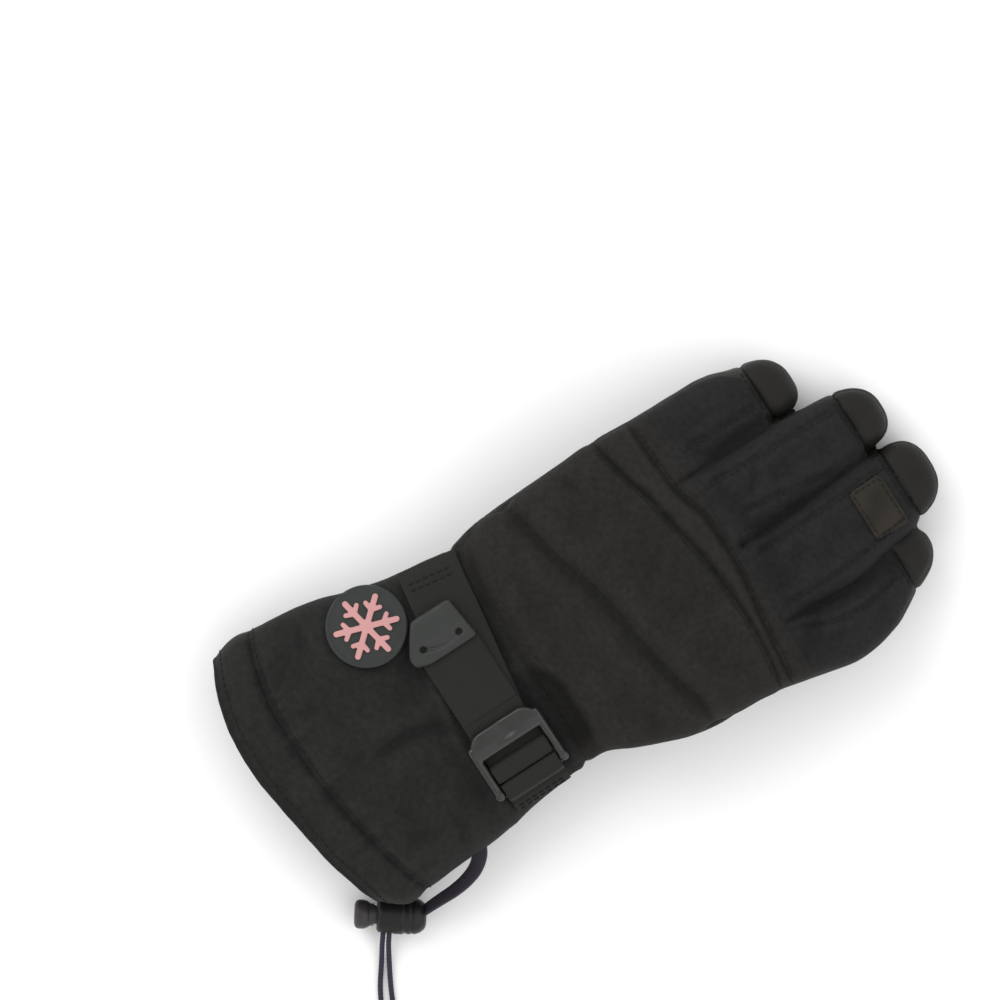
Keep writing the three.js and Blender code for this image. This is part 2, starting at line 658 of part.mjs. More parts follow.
// Moulded tab at the strap's free end, in line with the tail.
function pullTab() {
  const ahead = TAIL_STATIONS.at(-1) * CUFF_WIDTH - 3 * CLEARANCE;
  const [nearBed, farBed] = [tailBed(ahead), tailBed(ahead - TAB_LENGTH)];
  const z = Math.max(nearBed, tailBed(ahead - TAB_LENGTH / 2)) + TAIL_LIFT;
  const near = WEBBING_WIDTH / 2 + 1.2;
  const far = WEBBING_WIDTH / 2 - 3.2;
  const round = 3.2;
  const plan = new THREE.Shape();
  plan.moveTo(0, -near + round);
  plan.lineTo(0, near - round);
  plan.quadraticCurveTo(0, near, -round, near);
  plan.lineTo(-TAB_LENGTH + round, far + 0.6);
  plan.quadraticCurveTo(-TAB_LENGTH, far, -TAB_LENGTH, far - round);
  plan.lineTo(-TAB_LENGTH, -far + round);
  plan.quadraticCurveTo(-TAB_LENGTH, -far, -TAB_LENGTH + round, -far - 0.6);
  plan.lineTo(-round, -near);
  plan.quadraticCurveTo(0, -near, 0, -near + round);
  for (const side of [-1, 1]) {
    const hole = new THREE.Path();
    hole.absarc(-0.34 * TAB_LENGTH, side * 0.55 * far, 1.3, 0, 2 * Math.PI, true);
    plan.holes.push(hole);
  }
  const slab = new THREE.ExtrudeGeometry(plan, {
    depth: TAB_THICKNESS,
    bevelEnabled: false,
    curveSegments: 4,
  });
  const groove = new THREE.BoxGeometry(1.6, 1.1 * far, TAB_THICKNESS);
  groove.translate(-0.3 * TAB_LENGTH, 0, 1.3 * TAB_THICKNESS);
  const body = solid(slab).subtract(solid(groove));
  const made = piece('strap_pull_tab', body, PLASTIC);
  made.position.set(LOCK_X + ahead, LOCK_Y, z - CLEARANCE);
  made.rotation.set(0, Math.min(Math.atan2(farBed - nearBed, TAB_LENGTH), 0), radians(TAB_TURN));
  return made;
}

// Short webbing round the buckle's rear bar, sewn at the thumb side seam.
function anchorWebbing() {
  const half = WEBBING_THICKNESS / 2;
  const clear = CLEARANCE + half;
  const below = LOCK_BASE + BAR_RECESS - clear;
  const above = LOCK_TOP - REAR_RECESS + clear;
  const front = REAR_START - clear - 0.5;
  const loop = band(
    [
      [LOCK_LENGTH + 2 * LAYER, below],
      [REAR_START - 0.6, below],
      [front, below + 1.3],
      [front, above - 1.3],
      [REAR_START - 0.6, above],
      [LOCK_LENGTH + half, above],
      [LOCK_LENGTH + 2.1 * LAYER, below + WEBBING_THICKNESS],
    ],
    WEBBING_WIDTH,
    WEBBING_THICKNESS,
  );
  const start = LOCK_LENGTH + LAYER;
  const seam = SEAM_STATION * CUFF_WIDTH;
  const bed = [0.3, 0.6, 0.85, 1].map((t) => {
    const ahead = lerp(start, seam, t);
    return [ahead, webbingBed(ahead, 0) + half + (1 - t) * WEBBING_THICKNESS];
  });
  const lead = [start, LOCK_BED + STRAP_LIFT + below - start * Math.tan(LOCK_TILT)];
  const tongue = band([lead, ...bed], WEBBING_WIDTH, WEBBING_THICKNESS);
  tongue.translate(LOCK_X, LOCK_Y, 0);
  return piece('anchor_webbing', onLock(loop).add(solid(tongue)), WEBBING);
}

// Round badge on the cuff and its generic snowflake.
const BADGE_X = -0.294 * CUFF_WIDTH;
const BADGE_Y = 0.56 * CUFF_LENGTH;
function badgePieces() {
  const body = (grow) => shellBody(HEM_BAND_WIDTH + 2, 0.95 * CUFF_LENGTH, grow);
  const disc = new THREE.Shape();
  disc.absarc(BADGE_X, BADGE_Y, BADGE_RADIUS, 0, 2 * Math.PI, false);
  const rim = disc.getPoints(8).slice(0, -1).map((p) => [p.x, p.y]);
  const plan = prism(rim, 0.5 * CUFF_HEIGHT, 2 * CUFF_HEIGHT);
  const top = CLEARANCE + BADGE_THICKNESS;
  const bar = (length, width, x, y, angle) => {
    const made = new THREE.BoxGeometry(length, width, 2 * CUFF_HEIGHT);
    made.translate(x, y, 0);
    made.rotateZ(angle);
    made.translate(BADGE_X, BADGE_Y, CUFF_HEIGHT);
    return solid(made);
  };
  let flake = bar(0.6 * SNOWFLAKE_RADIUS, 0.6 * SNOWFLAKE_RADIUS, 0, 0, 0);
  for (let i = 0; i < 6; i++) {
    const angle = (Math.PI / 3) * i + 0.2;
    const tip = 0.68 * SNOWFLAKE_RADIUS;
    flake = flake.add(bar(SNOWFLAKE_RADIUS, SNOWFLAKE_ARM, SNOWFLAKE_RADIUS / 2, 0, angle));
    flake = flake.add(bar(SNOWFLAKE_ARM, 3.2 * SNOWFLAKE_ARM, tip, 0, angle));
  }
  const layer = overlay(body, top + CLEARANCE, top + CLEARANCE + SNOWFLAKE_THICKNESS, flake);
  const upper = box(-CUFF_WIDTH, 0, 0, CUFF_LENGTH, 0.3 * CUFF_HEIGHT, 2 * CUFF_HEIGHT);
  return [
    piece('badge_disc', overlay(body, CLEARANCE, top, plan), RUBBER),
    piece('badge_snowflake', layer.intersect(upper), EMBLEM),
  ];
}

// Tape from the thumb side edge to the cord lock's barrel: places in shares of the cuff's width
// and length, lift in shares of its height
const TAPE_ROUTE = [
  { across: 0.515, along: 0.475, lift: 0.55 },
  { across: 0.541, along: 0.445, lift: 0.5 },
  { across: 0.566, along: 0.385, lift: 0.45 },
  { across: 0.578, along: 0.31, lift: 0.4 },
  { across: 0.578, along: 0.24, lift: 0.36 },
  { across: 0.579, along: 0.18, lift: 0.32 },
  { across: 0.591, along: 0.143, lift: 0.27 },
];
function tapeLoop() {
  const route = TAPE_ROUTE.map(
    (row) => new THREE.Vector3(row.across * CUFF_WIDTH, row.along * CUFF_LENGTH, row.lift * CUFF_HEIGHT),
  );
  const curve = new THREE.CatmullRomCurve3(route);
  const rings = curve.getSpacedPoints(14).map((p, i) => {
    const way = curve.getTangentAt(i / 14).setZ(0).normalize();
    const out = new THREE.Vector3(way.y, -way.x, 0);
    const lean = new THREE.Vector3(0, 0, 1).multiplyScalar(0.84).addScaledVector(out, -0.54);
    const flat = new THREE.Vector3().crossVectors(lean, way).normalize();
    const [w, t] = [TAPE_WIDTH / 2, TAPE_THICKNESS / 2];
    return [[-1, -1], [1, -1], [1, 1], [-1, 1]].map(([a, b]) =>
      p.clone().addScaledVector(lean, a * w).addScaledVector(flat, b * t));
  });
  return piece('side_tape_loop', skin(rings), CLOTH);
}

// Cord lock: its axis lies on the surface beside the hem's thumb side corner.
const LOCK_AXIS = radians(54.8);
const CORD_LOCK_Z = BARREL_DIAMETER / 2;
const CORD_LOCK_X = 0.5162 * CUFF_WIDTH;
const CORD_LOCK_Y = -0.013 * CUFF_LENGTH;
const CORD_HOLE = 2 * STRAND_DIAMETER + 4 * CLEARANCE;
const BARREL_START = -CORD_HOLE / 2 - 1.2;

// Geometry along +X becomes geometry along the cord lock's axis.
function alongLock(body) {
  const made = new THREE.Group();
  made.add(...body);
  made.position.set(CORD_LOCK_X, CORD_LOCK_Y, CORD_LOCK_Z);
  made.rotation.z = LOCK_AXIS;
  return made;
}

function turned(profile) {
  const lathe = new THREE.LatheGeometry(profile.map(([r, x]) => new THREE.Vector2(r, x)), ROUND_SIDES);
  lathe.rotateZ(-Math.PI / 2);
  return solid(lathe);
}

function cordLock() {
  const r = BARREL_DIAMETER / 2;
  const end = BARREL_START + BARREL_LENGTH;
  const barrel = turned([
    [0, BARREL_START],
    [r - 1.6, BARREL_START],
    [r, BARREL_START + 2],
    [r, end - 4.5],
    [r - 1.4, end - 1.6],
    [r - 3.6, end],
    [0, end],
  ]);
  const stemEnd = BARREL_START + 0.66 * BARREL_LENGTH;
  const bore = turned([
    [0, BARREL_START - 1],
    [STEM_DIAMETER / 2 + CLEARANCE, BARREL_START - 1],
    [STEM_DIAMETER / 2 + CLEARANCE, stemEnd + PRESS_TRAVEL + CLEARANCE],
    [0, stemEnd + PRESS_TRAVEL + CLEARANCE],
  ]);
  const slot = (longer) => box(
    -CORD_HOLE / 2 - longer,
    CORD_HOLE / 2,
    -2 * r,
    2 * r,
    -CORD_HOLE / 2,
    CORD_HOLE / 2,
  );
  const head = BUTTON_DIAMETER / 2;
  const headEnd = BARREL_START - PRESS_TRAVEL - 2 * CLEARANCE;
  const button = turned([
    [0, headEnd - BUTTON_LENGTH],
    [head - 1.4, headEnd - BUTTON_LENGTH],
    [head, headEnd - BUTTON_LENGTH + 1.2],
    [head - 0.5, headEnd - 1],
    [STEM_DIAMETER / 2, headEnd],
    [STEM_DIAMETER / 2, stemEnd],
    [0, stemEnd],
  ]);
  return alongLock([
    piece('cord_lock_barrel', barrel.subtract(bore).subtract(slot(0)), LOCK_PLASTIC),
    piece('cord_lock_button', button.subtract(slot(PRESS_TRAVEL)), LOCK_PLASTIC),
  ]);
}

// Routes of the two drawcord strands, from the hem through the lock to the cord end: along and across
// in barrel diameters from the middle of the cord lock, height in barrel diameters above the surface
const STRAND_FLOOR = (STRAND_DIAMETER / 2 + CLEARANCE) / BARREL_DIAMETER;
const STRAND_ROUTES = {
  drawcord_strand_upper: [
    [-0.363, 0.36, 0.5],
    [0.051, 0.07, 0.5],
    [0.457, -0.22, 0.467],
    [0.684, -0.387, 0.373],
    [1.084, -0.633, 0.16],
    [1.784, -1.02, STRAND_FLOOR],
    [2.397, -1.3, 0.127],
    [3.024, -1.573, 0.24],
  ],
  drawcord_strand_lower: [
    [-0.456, 0.22, 0.5],
    [-0.043, -0.067, 0.5],
    [0.364, -0.357, 0.467],
    [0.591, -0.533, 0.373],
    [0.957, -0.793, 0.16],
    [1.611, -1.26, STRAND_FLOOR],
    [2.257, -1.567, 0.127],
    [2.977, -1.72, 0.24],
  ],
};
const alongRoute = (route) =>
  route.map(([x, y, z]) =>
    new THREE.Vector3(x, y, z)
      .multiplyScalar(BARREL_DIAMETER)
      .add(new THREE.Vector3(CORD_LOCK_X, CORD_LOCK_Y, 0)));
function strands() {
  return Object.entries(STRAND_ROUTES).map(([name, route]) => {
    const curve = new THREE.CatmullRomCurve3(alongRoute(route));
    const section = new THREE.Shape();
    const points = Array.from({ length: STRAND_SIDES }, (_, i) => {
      const angle = (2 * Math.PI * i) / STRAND_SIDES;
      return new THREE.Vector2(Math.cos(angle), Math.sin(angle)).multiplyScalar(STRAND_DIAMETER / 2);
    });
    section.setFromPoints(points);
    const geometry = new THREE.ExtrudeGeometry(section, {
      steps: 14,
      extrudePath: curve,
      bevelEnabled: false,
    });
    return piece(name, solid(geometry), CORD);
  });
}

// Cone that joins the two strands, lying on the surface just past their ends.
const CORD_END_TURN = radians(-20);
function cordEnd() {
  const [neck, wide] = [CORD_END_NECK / 2, CORD_END_DIAMETER / 2];
  const cone = turned([
    [0, 0],
    [neck - 0.5, 0],
    [neck, 0.8],
    [neck, 3.6],
    [neck + 0.5, 4],
    [wide - 0.2, CORD_END_LENGTH - 5],
    [wide - 0.6, CORD_END_LENGTH - 2],
    [wide - 2.4, CORD_END_LENGTH],
    [0, CORD_END_LENGTH],
  ]);
  const made = piece('drawcord_end', cone, LOCK_PLASTIC);
  const ends = Object.values(STRAND_ROUTES).map((route) => alongRoute(route).at(-1));
  made.position.lerpVectors(ends[0], ends[1], 0.5).add(new THREE.Vector3(CLEARANCE + 0.1, -0.15, CLEARANCE));
  made.rotation.set(0, Math.atan2(neck - wide, CORD_END_LENGTH) * 0.9, CORD_END_TURN, 'ZYX');
  return made;
}

const placed = new THREE.Group();
placed.add(
  ...handPieces(),
  ...FINGERS.flatMap(fingerPieces),
  ...cuffPieces(),
  knuckleRib(),
  wipingPatch(),
  wristStrap(),
  pullTab(),
  ladderLock(),
  anchorWebbing(),
  ...badgePieces(),
  tapeLoop(),
  cordLock(),
);

// The origin is under the middle of the glove, without its drawcord.
placed.updateMatrixWorld(true);
const bounds = new THREE.Box3().setFromObject(placed, true);
placed.add(...strands(), cordEnd());
const middle = bounds.getCenter(new THREE.Vector3());
placed.position.set(-middle.x, -middle.y, -bounds.min.z);

const glove = new THREE.Group();
glove.add(placed);
export default glove;
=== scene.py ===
# %% [markdown]
# A padded ski glove for a left hand, lying palm down, with its wrist strap and hem drawcord.
# The CAD model says where every piece is. This script dresses it: each cell makes one piece or
# one finish, and the text above it says what the real thing is and why it is made this way.

# %% The frame
import math

import bmesh
import bpy
import numpy as np
from mathutils import Matrix, Vector
from mathutils.bvhtree import BVHTree


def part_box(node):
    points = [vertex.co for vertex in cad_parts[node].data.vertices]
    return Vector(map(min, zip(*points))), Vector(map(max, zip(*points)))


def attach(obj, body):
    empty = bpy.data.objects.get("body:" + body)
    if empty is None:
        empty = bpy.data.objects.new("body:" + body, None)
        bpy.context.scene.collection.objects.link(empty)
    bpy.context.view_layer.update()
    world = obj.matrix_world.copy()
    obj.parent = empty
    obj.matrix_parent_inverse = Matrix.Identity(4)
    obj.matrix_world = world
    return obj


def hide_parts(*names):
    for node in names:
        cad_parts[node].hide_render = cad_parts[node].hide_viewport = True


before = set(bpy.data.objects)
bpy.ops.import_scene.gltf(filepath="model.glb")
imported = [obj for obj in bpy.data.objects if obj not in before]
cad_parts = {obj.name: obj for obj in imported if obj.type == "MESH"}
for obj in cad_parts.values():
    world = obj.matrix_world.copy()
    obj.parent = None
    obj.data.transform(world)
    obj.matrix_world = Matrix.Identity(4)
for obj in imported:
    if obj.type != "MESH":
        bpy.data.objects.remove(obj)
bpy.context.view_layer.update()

# %% [markdown]
# The pattern of the glove is written in millimetres from its hem line: x to the thumb side,
# y to the fingertips, z up. Two CAD nodes say where that pattern lies in the frame, so the
# pieces follow the CAD if it is ever set down elsewhere.

# %% Pattern millimetres to frame metres
MM = 0.001
PATCH_MIDDLE_X = 34.472
ROOT_EDGE_Y = 196.3
patch_low, patch_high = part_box("middle_finger_patch")
ORIGIN = np.array([
    (patch_low.x + patch_high.x) / 2 - PATCH_MIDDLE_X * MM,
    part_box("finger_ring")[0].y - ROOT_EDGE_Y * MM,
    0.0,
])


def in_frame(points):
    """Pattern millimetres to metres in the frame."""
    return np.asarray(points, float) * MM + ORIGIN


print("pattern origin in the frame, mm:", np.round(ORIGIN / MM, 3))

# %% [markdown]
# The photograph looks straight down, and the glove's fingers point up and to the right in it.
# A long lens from three metres keeps the near and far sides of the glove the same size.

# %% Camera
PICTURE_SIDE = 400 * MM
CAMERA_HEIGHT = 3.0
SHARP_HEIGHT = 0.03
PICTURE_MIDDLE = np.array([-50.5, 127.9, 0.0])
TURN = math.radians(33)
camera_data = bpy.data.cameras.new("camera")
camera = bpy.data.objects.new("camera", camera_data)
bpy.context.scene.collection.objects.link(camera)
right = Vector((math.sin(TURN), math.cos(TURN), 0))
upward = Vector((-math.cos(TURN), math.sin(TURN), 0))
turned = Matrix((right, upward, right.cross(upward))).transposed().to_4x4()
place = in_frame(PICTURE_MIDDLE)
camera.matrix_world = Matrix.Translation((place[0], place[1], CAMERA_HEIGHT)) @ turned
camera_data.sensor_width = 36.0
camera_data.lens = camera_data.sensor_width * (CAMERA_HEIGHT - SHARP_HEIGHT) / PICTURE_SIDE
bpy.context.scene.camera = camera
print("lens, mm:", round(camera_data.lens, 1))

# %% [markdown]
# Colours are given as sRGB hex values, as a dye chart gives them. The renderer counts in linear
# light, so one function turns them over. One more adds a shader node with its settings and links.

# %% Colour and node helpers
def linear(code):
    """An sRGB hex colour as linear RGBA."""
    parts = [int(code[i:i + 2], 16) / 255 for i in (1, 3, 5)]
    return (*[c / 12.92 if c <= 0.04045 else ((c + 0.055) / 1.055) ** 2.4 for c in parts], 1.0)


def add(tree, kind, inputs=None, **settings):
    """Adds a node, sets what it is told, and links or fills its inputs."""
    made = tree.nodes.new(kind)
    for name, value in settings.items():
        setattr(made, name, value)
    for key, value in (inputs or {}).items():
        socket = made.inputs[key]
        if isinstance(value, bpy.types.NodeSocket):
            tree.links.new(value, socket)
        else:
            socket.default_value = value
    return made


def surface(name, **shader):
    """A new material with one Principled shader; returns material, tree and shader."""
    made = bpy.data.materials.new(name)
    made.use_nodes = True
    tree = made.node_tree
    tree.nodes.clear()
    principled = add(tree, "ShaderNodeBsdfPrincipled", shader)
    add(tree, "ShaderNodeOutputMaterial", {"Surface": principled.outputs[0]})
    return made, tree, principled


def mottled(tree, colour, scale, amount, vector, light=None):
    """A colour that varies softly between a darker and a lighter tone."""
    noise = add(tree, "ShaderNodeTexNoise", {"Vector": vector, "Scale": scale, "Detail": 4.0})
    dark = [c * (1 - amount) for c in colour[:3]] + [1.0]
    bright = [c * (1 + amount) for c in (light or colour)[:3]] + [1.0]
    mix = add(tree, "ShaderNodeMix", {0: noise.outputs[0], 6: dark, 7: bright}, data_type="RGBA")
    return mix.outputs[2]


print("dark cloth in linear light:", [round(c, 4) for c in linear("#2d2d2b")])

# %% [markdown]
# Shell cloth. The back, fingers and cuff are a tightly woven nylon with a matt face. A plain weave
# shows as tiny crossing ridges. The real threads are about 0.35 mm apart, too fine for the picture,
# so the weave is drawn at 0.9 mm. The pieces carry a value called crest, from -1 in a valley to 1 on
# a ridge, and the colour follows it: lighter on ridges, as rubbed wear and painted light, and darker
# in folds and seams, as painted shade.

# %% Woven nylon
THREAD = 0.9 * MM


def woven_nylon(name, code, roughness=0.78, bump=0.35, thread=THREAD):
    material, tree, shader = surface(name, **{
        "Roughness": roughness, "IOR": 1.5, "Specular IOR Level": 0.12,
        "Sheen Weight": 0.02, "Sheen Roughness": 0.45,
    })
    grid = add(tree, "ShaderNodeUVMap", uv_map="cloth")
    along = add(tree, "ShaderNodeSeparateXYZ", {0: grid.outputs[0]})
    waves = []
    for axis in (0, 1):
        place = along.outputs[axis]
        turn = add(tree, "ShaderNodeMath", {0: place, 1: math.pi / thread}, operation="MULTIPLY")
        waves.append(add(tree, "ShaderNodeMath", {0: turn.outputs[0]}, operation="SINE").outputs[0])
    over = add(tree, "ShaderNodeMath", {0: waves[0], 1: waves[1]}, operation="MULTIPLY")
    which = add(tree, "ShaderNodeMath", {0: over.outputs[0], 1: 0.0}, operation="GREATER_THAN")
    humps = [add(tree, "ShaderNodeMath", {0: wave}, operation="ABSOLUTE").outputs[0] for wave in waves]
    weave = add(tree, "ShaderNodeMix", {0: which.outputs[0], 2: humps[0], 3: humps[1]})
    object_space = add(tree, "ShaderNodeTexCoord").outputs["Object"]
    fuzz = add(tree, "ShaderNodeTexNoise", {"Vector": object_space, "Scale": 900.0, "Detail": 3.0})
    height = add(
        tree, "ShaderNodeMath", {0: fuzz.outputs[0], 1: 0.6, 2: weave.outputs[0]}, operation="MULTIPLY_ADD"
    )
    relief = add(
        tree, "ShaderNodeBump", {"Height": height.outputs[0], "Strength": bump, "Distance": 0.25 * MM}
    )
    tone = mottled(tree, linear(code), 60.0, 0.04, object_space)
    speck = add(tree, "ShaderNodeTexNoise", {"Vector": object_space, "Scale": 420.0, "Detail": 2.0})
    speckle = add(tree, "ShaderNodeMapRange", {0: speck.outputs[0], 1: 0.3, 2: 0.7, 3: 0.82, 4: 1.2})
    crest = add(tree, "ShaderNodeAttribute", attribute_name="crest")
    # crest paints the colour: lighter on ridges, as rubbed wear and painted light; darker in valleys and seams, as
    # painted shade
    wear_and_painted_shade = add(tree, "ShaderNodeMapRange", {0: crest.outputs["Fac"], 1: -1.0, 2: 1.0, 3: 0.68, 4: 1.3})
    shade = add(tree, "ShaderNodeMath", {0: speckle.outputs[0], 1: wear_and_painted_shade.outputs[0]}, operation="MULTIPLY")
    lit = add(tree, "ShaderNodeVectorMath", {0: tone, "Scale": shade.outputs[0]}, operation="SCALE")
    tree.links.new(lit.outputs[0], shader.inputs["Base Color"])
    tree.links.new(relief.outputs[0], shader.inputs["Normal"])
    return material


BACK_CLOTH = woven_nylon("woven_nylon_back", "#1d1c1a")
FINGER_CLOTH = woven_nylon("woven_nylon_fingers", "#1b1a1a")
CUFF_CLOTH = woven_nylon("woven_nylon_cuff", "#1c1c1b")
LINING = woven_nylon("brushed_polyester_lining", "#1b1b1c", roughness=0.95, bump=0.6, thread=1.6 * MM)
print("cloths made:", BACK_CLOTH.name, FINGER_CLOTH.name, CUFF_CLOTH.name, LINING.name)

# %% [markdown]
# Synthetic leather. The palm, thumb and fingertip caps are polyurethane leather with a pebbled
# grain of about 0.8 mm. Its face is a little smoother and browner than the cloth. The wiping patch
# is the same stuff, brushed to a lighter suede.

# %% Synthetic leather
def synthetic_leather(name, code, roughness, grain, bump):
    material, tree, shader = surface(name, **{
        "Roughness": roughness, "IOR": 1.5, "Specular IOR Level": 0.16, "Sheen Weight": 0.01,
    })
    object_space = add(tree, "ShaderNodeTexCoord").outputs["Object"]
    cells = add(
        tree, "ShaderNodeTexVoronoi", {"Vector": object_space, "Scale": 1 / grain}, feature="SMOOTH_F1"
    )
    pores = add(tree, "ShaderNodeTexNoise", {"Vector": object_space, "Scale": 3 / grain, "Detail": 4.0})
    height = add(
        tree, "ShaderNodeMath", {0: pores.outputs[0], 1: 0.5, 2: cells.outputs["Distance"]},
        operation="MULTIPLY_ADD",
    )
    relief = add(
        tree, "ShaderNodeBump", {"Height": height.outputs[0], "Strength": bump, "Distance": 0.3 * MM}
    )
    tone = mottled(tree, linear(code), 80.0, 0.12, object_space)
    crest = add(tree, "ShaderNodeAttribute", attribute_name="crest")
    # crest paints the colour: lighter on ridges, as rubbed wear and painted light; darker in valleys and seams, as
    # painted shade
    wear_and_painted_shade = add(tree, "ShaderNodeMapRange", {0: crest.outputs["Fac"], 1: -1.0, 2: 1.0, 3: 0.66, 4: 1.3})
    lit = add(tree, "ShaderNodeVectorMath", {0: tone, "Scale": wear_and_painted_shade.outputs[0]}, operation="SCALE")
    tree.links.new(lit.outputs[0], shader.inputs["Base Color"])
    tree.links.new(relief.outputs[0], shader.inputs["Normal"])
    return material


PALM_LEATHER = synthetic_leather("polyurethane_leather_palm", "#1d1c1a", 0.55, 0.9 * MM, 0.5)
CAP_LEATHER = synthetic_leather("polyurethane_leather_caps", "#171613", 0.58, 0.8 * MM, 0.45)
PATCH_SUEDE = synthetic_leather("brushed_suede_patch", "#26231e", 0.85, 0.6 * MM, 0.6)
print("leathers made:", PALM_LEATHER.name, CAP_LEATHER.name, PATCH_SUEDE.name)

# %% [markdown]
# Narrow woven goods. Nylon webbing has ribs that run along it and a diagonal twill on each rib.
# The cord and the thread are twisted and braided nylon. All are drawn from the piece's own
# coordinates, across and along, in metres. The low places of the weave get painted shade: their
# colour is a little darker than the high places.

# %% Nylon webbing, tape, cord and thread
def narrow_weave(name, code, rib, twill, roughness=0.72, bump=0.4):
    material, tree, shader = surface(name, **{
        "Roughness": roughness, "IOR": 1.53, "Specular IOR Level": 0.13, "Sheen Weight": 0.02,
    })
    grid = add(tree, "ShaderNodeUVMap", uv_map="cloth")
    parts = add(tree, "ShaderNodeSeparateXYZ", {0: grid.outputs[0]})
    across, along = parts.outputs[0], parts.outputs[1]
    turn = add(tree, "ShaderNodeMath", {0: across, 1: math.pi / rib}, operation="MULTIPLY")
    wave = add(tree, "ShaderNodeMath", {0: turn.outputs[0]}, operation="SINE")
    rounded = add(tree, "ShaderNodeMath", {0: wave.outputs[0]}, operation="ABSOLUTE")
    zigzag = add(tree, "ShaderNodeMath", {0: across, 1: 2 * rib}, operation="PINGPONG")
    slant = add(tree, "ShaderNodeMath", {0: along, 1: zigzag.outputs[0]}, operation="ADD")
    steps = add(tree, "ShaderNodeMath", {0: slant.outputs[0], 1: 2 * math.pi / twill}, operation="MULTIPLY")
    threads = add(tree, "ShaderNodeMath", {0: steps.outputs[0]}, operation="SINE")
    height = add(
        tree, "ShaderNodeMath", {0: threads.outputs[0], 1: 0.35, 2: rounded.outputs[0]}, operation="MULTIPLY_ADD"
    )
    relief = add(
        tree, "ShaderNodeBump", {"Height": height.outputs[0], "Strength": bump, "Distance": 0.25 * MM}
    )
    object_space = add(tree, "ShaderNodeTexCoord").outputs["Object"]
    tone = mottled(tree, linear(code), 120.0, 0.1, object_space)
    # painted shade: the low places of the weave, between ribs and twill lines, are coloured darker
    depth = add(tree, "ShaderNodeMapRange", {0: height.outputs[0], 1: 0.0, 2: 1.3, 3: 0.86, 4: 1.08})
    lit = add(tree, "ShaderNodeVectorMath", {0: tone, "Scale": depth.outputs[0]}, operation="SCALE")
    tree.links.new(lit.outputs[0], shader.inputs["Base Color"])
    tree.links.new(relief.outputs[0], shader.inputs["Normal"])
    return material


WEBBING = narrow_weave("nylon_webbing", "#21221f", 1.2 * MM, 1.0 * MM)
TAPE = narrow_weave("nylon_tape", "#37333b", 1.3 * MM, 1.0 * MM)
CORD = narrow_weave("braided_nylon_cord", "#2f2d3b", 0.9 * MM, 1.4 * MM, roughness=0.6)
THREAD_NYLON = narrow_weave("bonded_nylon_thread", "#191918", 0.4 * MM, 0.5 * MM, roughness=0.5)
print("narrow goods made:", WEBBING.name, TAPE.name, CORD.name, THREAD_NYLON.name)

# %% [markdown]
# Mouldings. The buckle, the pull tab and the cord lock are injection moulded acetal: a grey black
# with a fine spark-eroded grain, so it shines softly on its edges. The badge is moulded silicone
# rubber, which is duller. Its emblem is a layer of pink rubber.

# %% Moulded acetal and rubber
def moulded(name, code, roughness, grain=0.35 * MM, bump=0.12, coat=0.0, shine=0.5):
    material, tree, shader = surface(name, **{
        "Roughness": roughness, "IOR": 1.48, "Specular IOR Level": shine,
        "Coat Weight": coat, "Coat Roughness": 0.25,
    })
    object_space = add(tree, "ShaderNodeTexCoord").outputs["Object"]
    texture = add(tree, "ShaderNodeTexNoise", {"Vector": object_space, "Scale": 1 / grain, "Detail": 3.0})
    relief = add(
        tree, "ShaderNodeBump", {"Height": texture.outputs[0], "Strength": bump, "Distance": 0.15 * MM}
    )
    tone = mottled(tree, linear(code), 150.0, 0.07, object_space)
    scuffs = add(tree, "ShaderNodeTexNoise", {"Vector": object_space, "Scale": 260.0, "Detail": 5.0})
    least, most = roughness - 0.06, roughness + 0.12
    gloss = add(tree, "ShaderNodeMapRange", {0: scuffs.outputs[0], 1: 0.35, 2: 0.7, 3: least, 4: most})
    tree.links.new(tone, shader.inputs["Base Color"])
    tree.links.new(gloss.outputs[0], shader.inputs["Roughness"])
    tree.links.new(relief.outputs[0], shader.inputs["Normal"])
    return material


BUCKLE_ACETAL = moulded("moulded_acetal_buckle", "#1b1d1a", 0.3)
TAB_ACETAL = moulded("moulded_acetal_tab", "#292b29", 0.46, shine=0.3)
LOCK_ACETAL = moulded("moulded_acetal_cord_lock", "#181717", 0.4, shine=0.25)
BUTTON_ACETAL = moulded("moulded_acetal_button", "#302d2d", 0.42, shine=0.35)
BADGE_RUBBER = moulded("moulded_rubber_badge", "#303331", 0.62, grain=0.5 * MM, bump=0.2, shine=0.15)
PINK_RUBBER = moulded("moulded_rubber_pink", "#bb8a89", 0.6, grain=0.5 * MM, bump=0.2, shine=0.2)
print("mouldings made:", BUCKLE_ACETAL.name, TAB_ACETAL.name, LOCK_ACETAL.name, BADGE_RUBBER.name)

# %% [markdown]
# Every piece is made as arrays of points and faces, because tables of numbers are easy to check
# against the real glove. A few small tools turn them into Blender objects: one skins rings of
# points, one merges overlapping forms with a voxel remesh, and one evens a surface out.

# %% Mesh tools
def gentle(value, low, high):
    """0 below low, 1 above high, smooth between."""
    t = np.clip((value - low) / (high - low), 0, 1)
    return t * t * (3 - 2 * t)


def skin(rings, open_ends=False):
    """Joins rings of equal count into a tube, closed by fans unless told not to."""
    rings = np.asarray(rings, float)
    count, sides = rings.shape[:2]
    points = list(rings.reshape(-1, 3))
    faces = []
    for i in range(count - 1):
        for j in range(sides):
            a, b = i * sides + j, i * sides + (j + 1) % sides
            faces.append((a, a + sides, b + sides, b))
    if not open_ends:
        for first, flip in ((0, False), ((count - 1) * sides, True)):
            points.append(np.mean(points[first:first + sides], axis=0))
            hub = len(points) - 1
            for j in range(sides):
                a, b = first + j, first + (j + 1) % sides
                faces.append((hub, b, a) if flip else (hub, a, b))
    return np.array(points), faces


